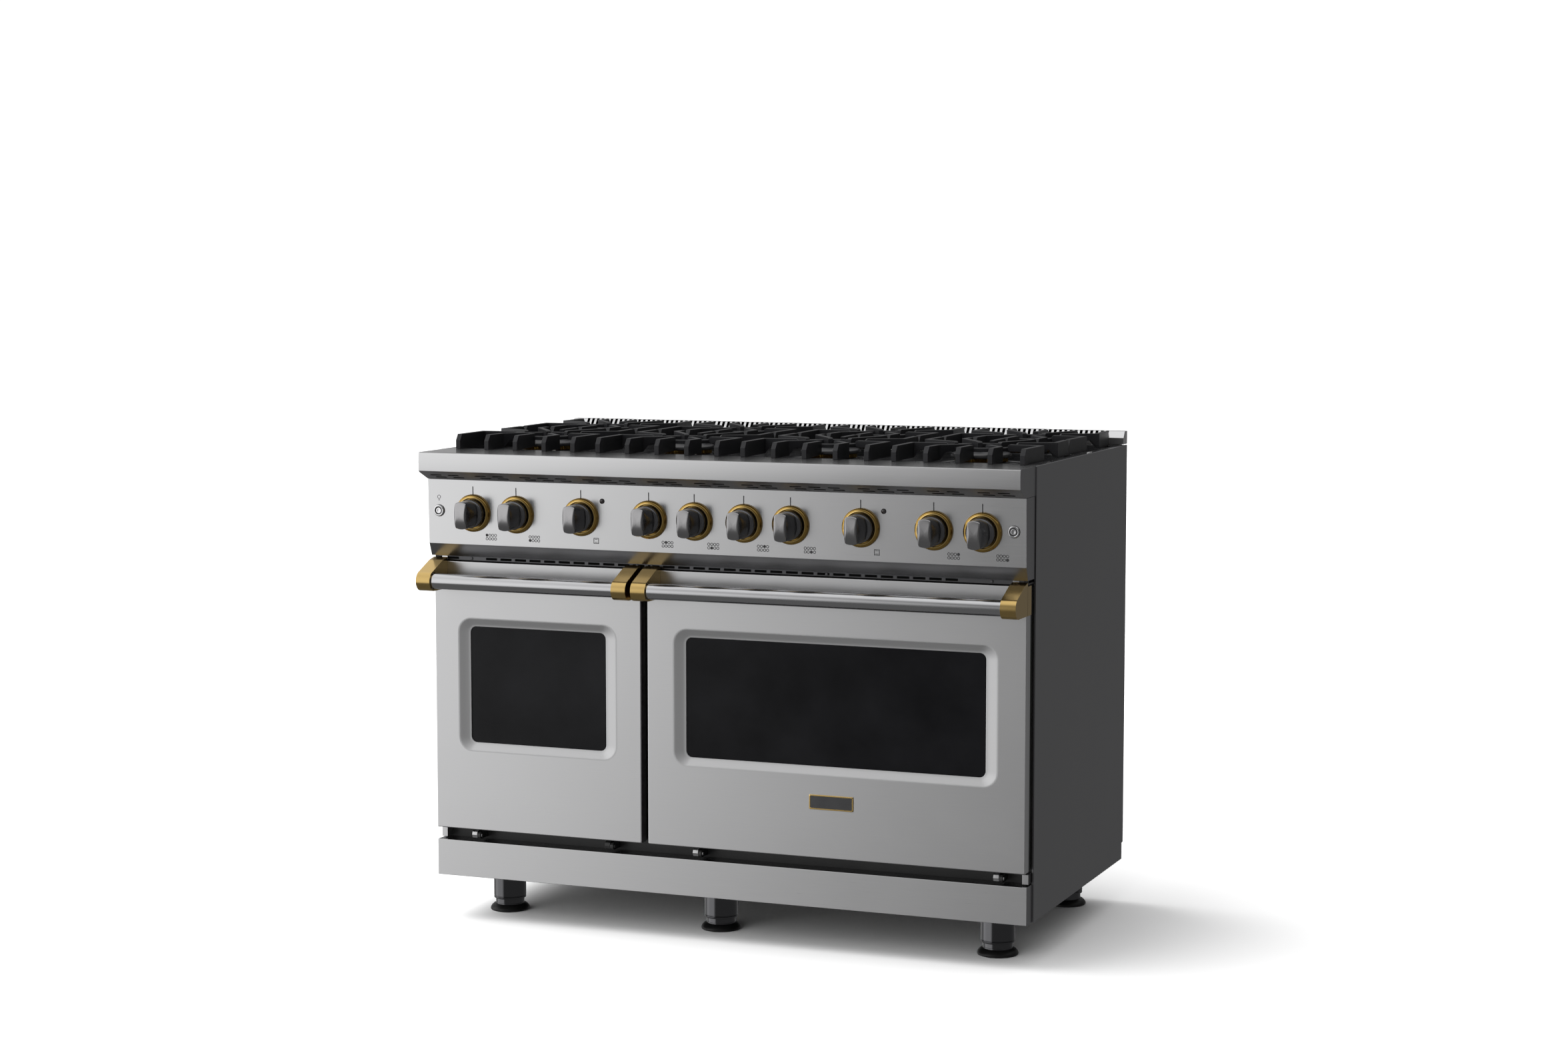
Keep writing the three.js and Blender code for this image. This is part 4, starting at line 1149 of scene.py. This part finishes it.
def build_camera():
    data = bpy.data.cameras.new("camera")
    data.sensor_width = 36
    data.lens = LENS
    camera = placed("camera", data)
    camera.location = CAMERA_AT
    camera.rotation_euler = (math.radians(90 - PITCH), 0, math.radians(YAW))
    SCENE.camera = camera


def direction(azimuth, elevation):
    """A unit vector: azimuth 0 is straight out of the front, 90 to the right."""
    a, e = math.radians(azimuth), math.radians(elevation)
    return Vector((math.sin(a) * math.cos(e), -math.cos(a) * math.cos(e), math.sin(e)))


# Each soft light of the studio: azimuth, elevation, where it starts and is full (degrees from its
# middle), and its strength.
LOBES = [
    (-60, 5, 45, 32, 1.12),
    (0, 90, 66, 30, 0.95),
    (-115, 10, 60, 15, 0.3),
]
AMBIENT = 0.15
# The lights fade between these two elevations, to the share that is left below the horizon.
HORIZON = (-23.0, -14.0)
BELOW = 0.08


WHITE = (1, 1, 1, 1)


def build_world():
    """The camera sees plain white; the object is lit by soft lights drawn in the sky."""
    world = bpy.data.worlds.new("studio")
    world.use_nodes = True
    tree = world.node_tree
    tree.nodes.clear()
    sky = new_node(tree, "ShaderNodeTexCoord", {}).outputs["Generated"]

    def combined(operation, first, second):
        return new_node(tree, "ShaderNodeMath", {0: first, 1: second}, operation=operation).outputs["Value"]

    total = 0.0
    for azimuth, elevation, start, full, strength in LOBES:
        inputs = {0: sky, 1: direction(azimuth, elevation)}
        dot = new_node(tree, "ShaderNodeVectorMath", inputs, operation="DOT_PRODUCT").outputs["Value"]
        start, full = (math.cos(math.radians(angle)) for angle in (start, full))
        total = combined("ADD", remapped(tree, dot, start, full, 0, strength, "SMOOTHSTEP"), total)
    height = new_node(tree, "ShaderNodeSeparateXYZ", {"Vector": sky}).outputs["Z"]
    low, high = (math.sin(math.radians(angle)) for angle in HORIZON)
    dimmed = combined("MULTIPLY", total, remapped(tree, height, low, high, BELOW, 1, "SMOOTHSTEP"))
    level = combined("ADD", dimmed, AMBIENT)
    studio = new_node(tree, "ShaderNodeBackground", {"Color": WHITE, "Strength": level})
    plain = new_node(tree, "ShaderNodeBackground", {"Color": WHITE, "Strength": 1.1})
    seen = new_node(tree, "ShaderNodeLightPath", {}).outputs["Is Camera Ray"]
    inputs = {0: seen, 1: studio.outputs["Background"], 2: plain.outputs["Background"]}
    mix = new_node(tree, "ShaderNodeMixShader", inputs).outputs["Shader"]
    new_node(tree, "ShaderNodeOutputWorld", {"Surface": mix})
    SCENE.world = world


def build_floor():
    """A wide matt floor, just under the feet."""
    material = bpy.data.materials.new("floor")
    material.use_nodes = True
    shader = material.node_tree.nodes["Principled BSDF"]
    shader.inputs["Base Color"].default_value = (0.86, 0.86, 0.86, 1)
    shader.inputs["Roughness"].default_value = 0.9
    shader.inputs["Specular IOR Level"].default_value = 0.0
    half, height = 60, -0.0002
    bm = bmesh.new()
    corners = ((-half, -half), (half, -half), (half, half), (-half, half))
    bm.faces.new([bm.verts.new((x, y, height)) for x, y in corners])
    floor = placed("floor", mesh_of("floor", bm, [material]))
    floor.visible_glossy = False


def build_sun(name, azimuth, elevation, strength, spread):
    """A soft sun shining from a direction, hidden from reflections."""
    data = bpy.data.lights.new(name, "SUN")
    data.energy = strength
    data.angle = math.radians(spread)
    sun = placed(name, data)
    sun.rotation_euler = direction(azimuth, elevation).to_track_quat("Z", "Y").to_euler()
    sun.visible_glossy = False


build_camera()
build_world()
build_floor()
build_sun("key", -76, 57, 2.7, 54)
build_sun("fill", -12, 17, 1.9, 56)
SCENE.view_settings.view_transform = "Standard"

# ---------------------------------------- closing update
bpy.context.view_layer.update()
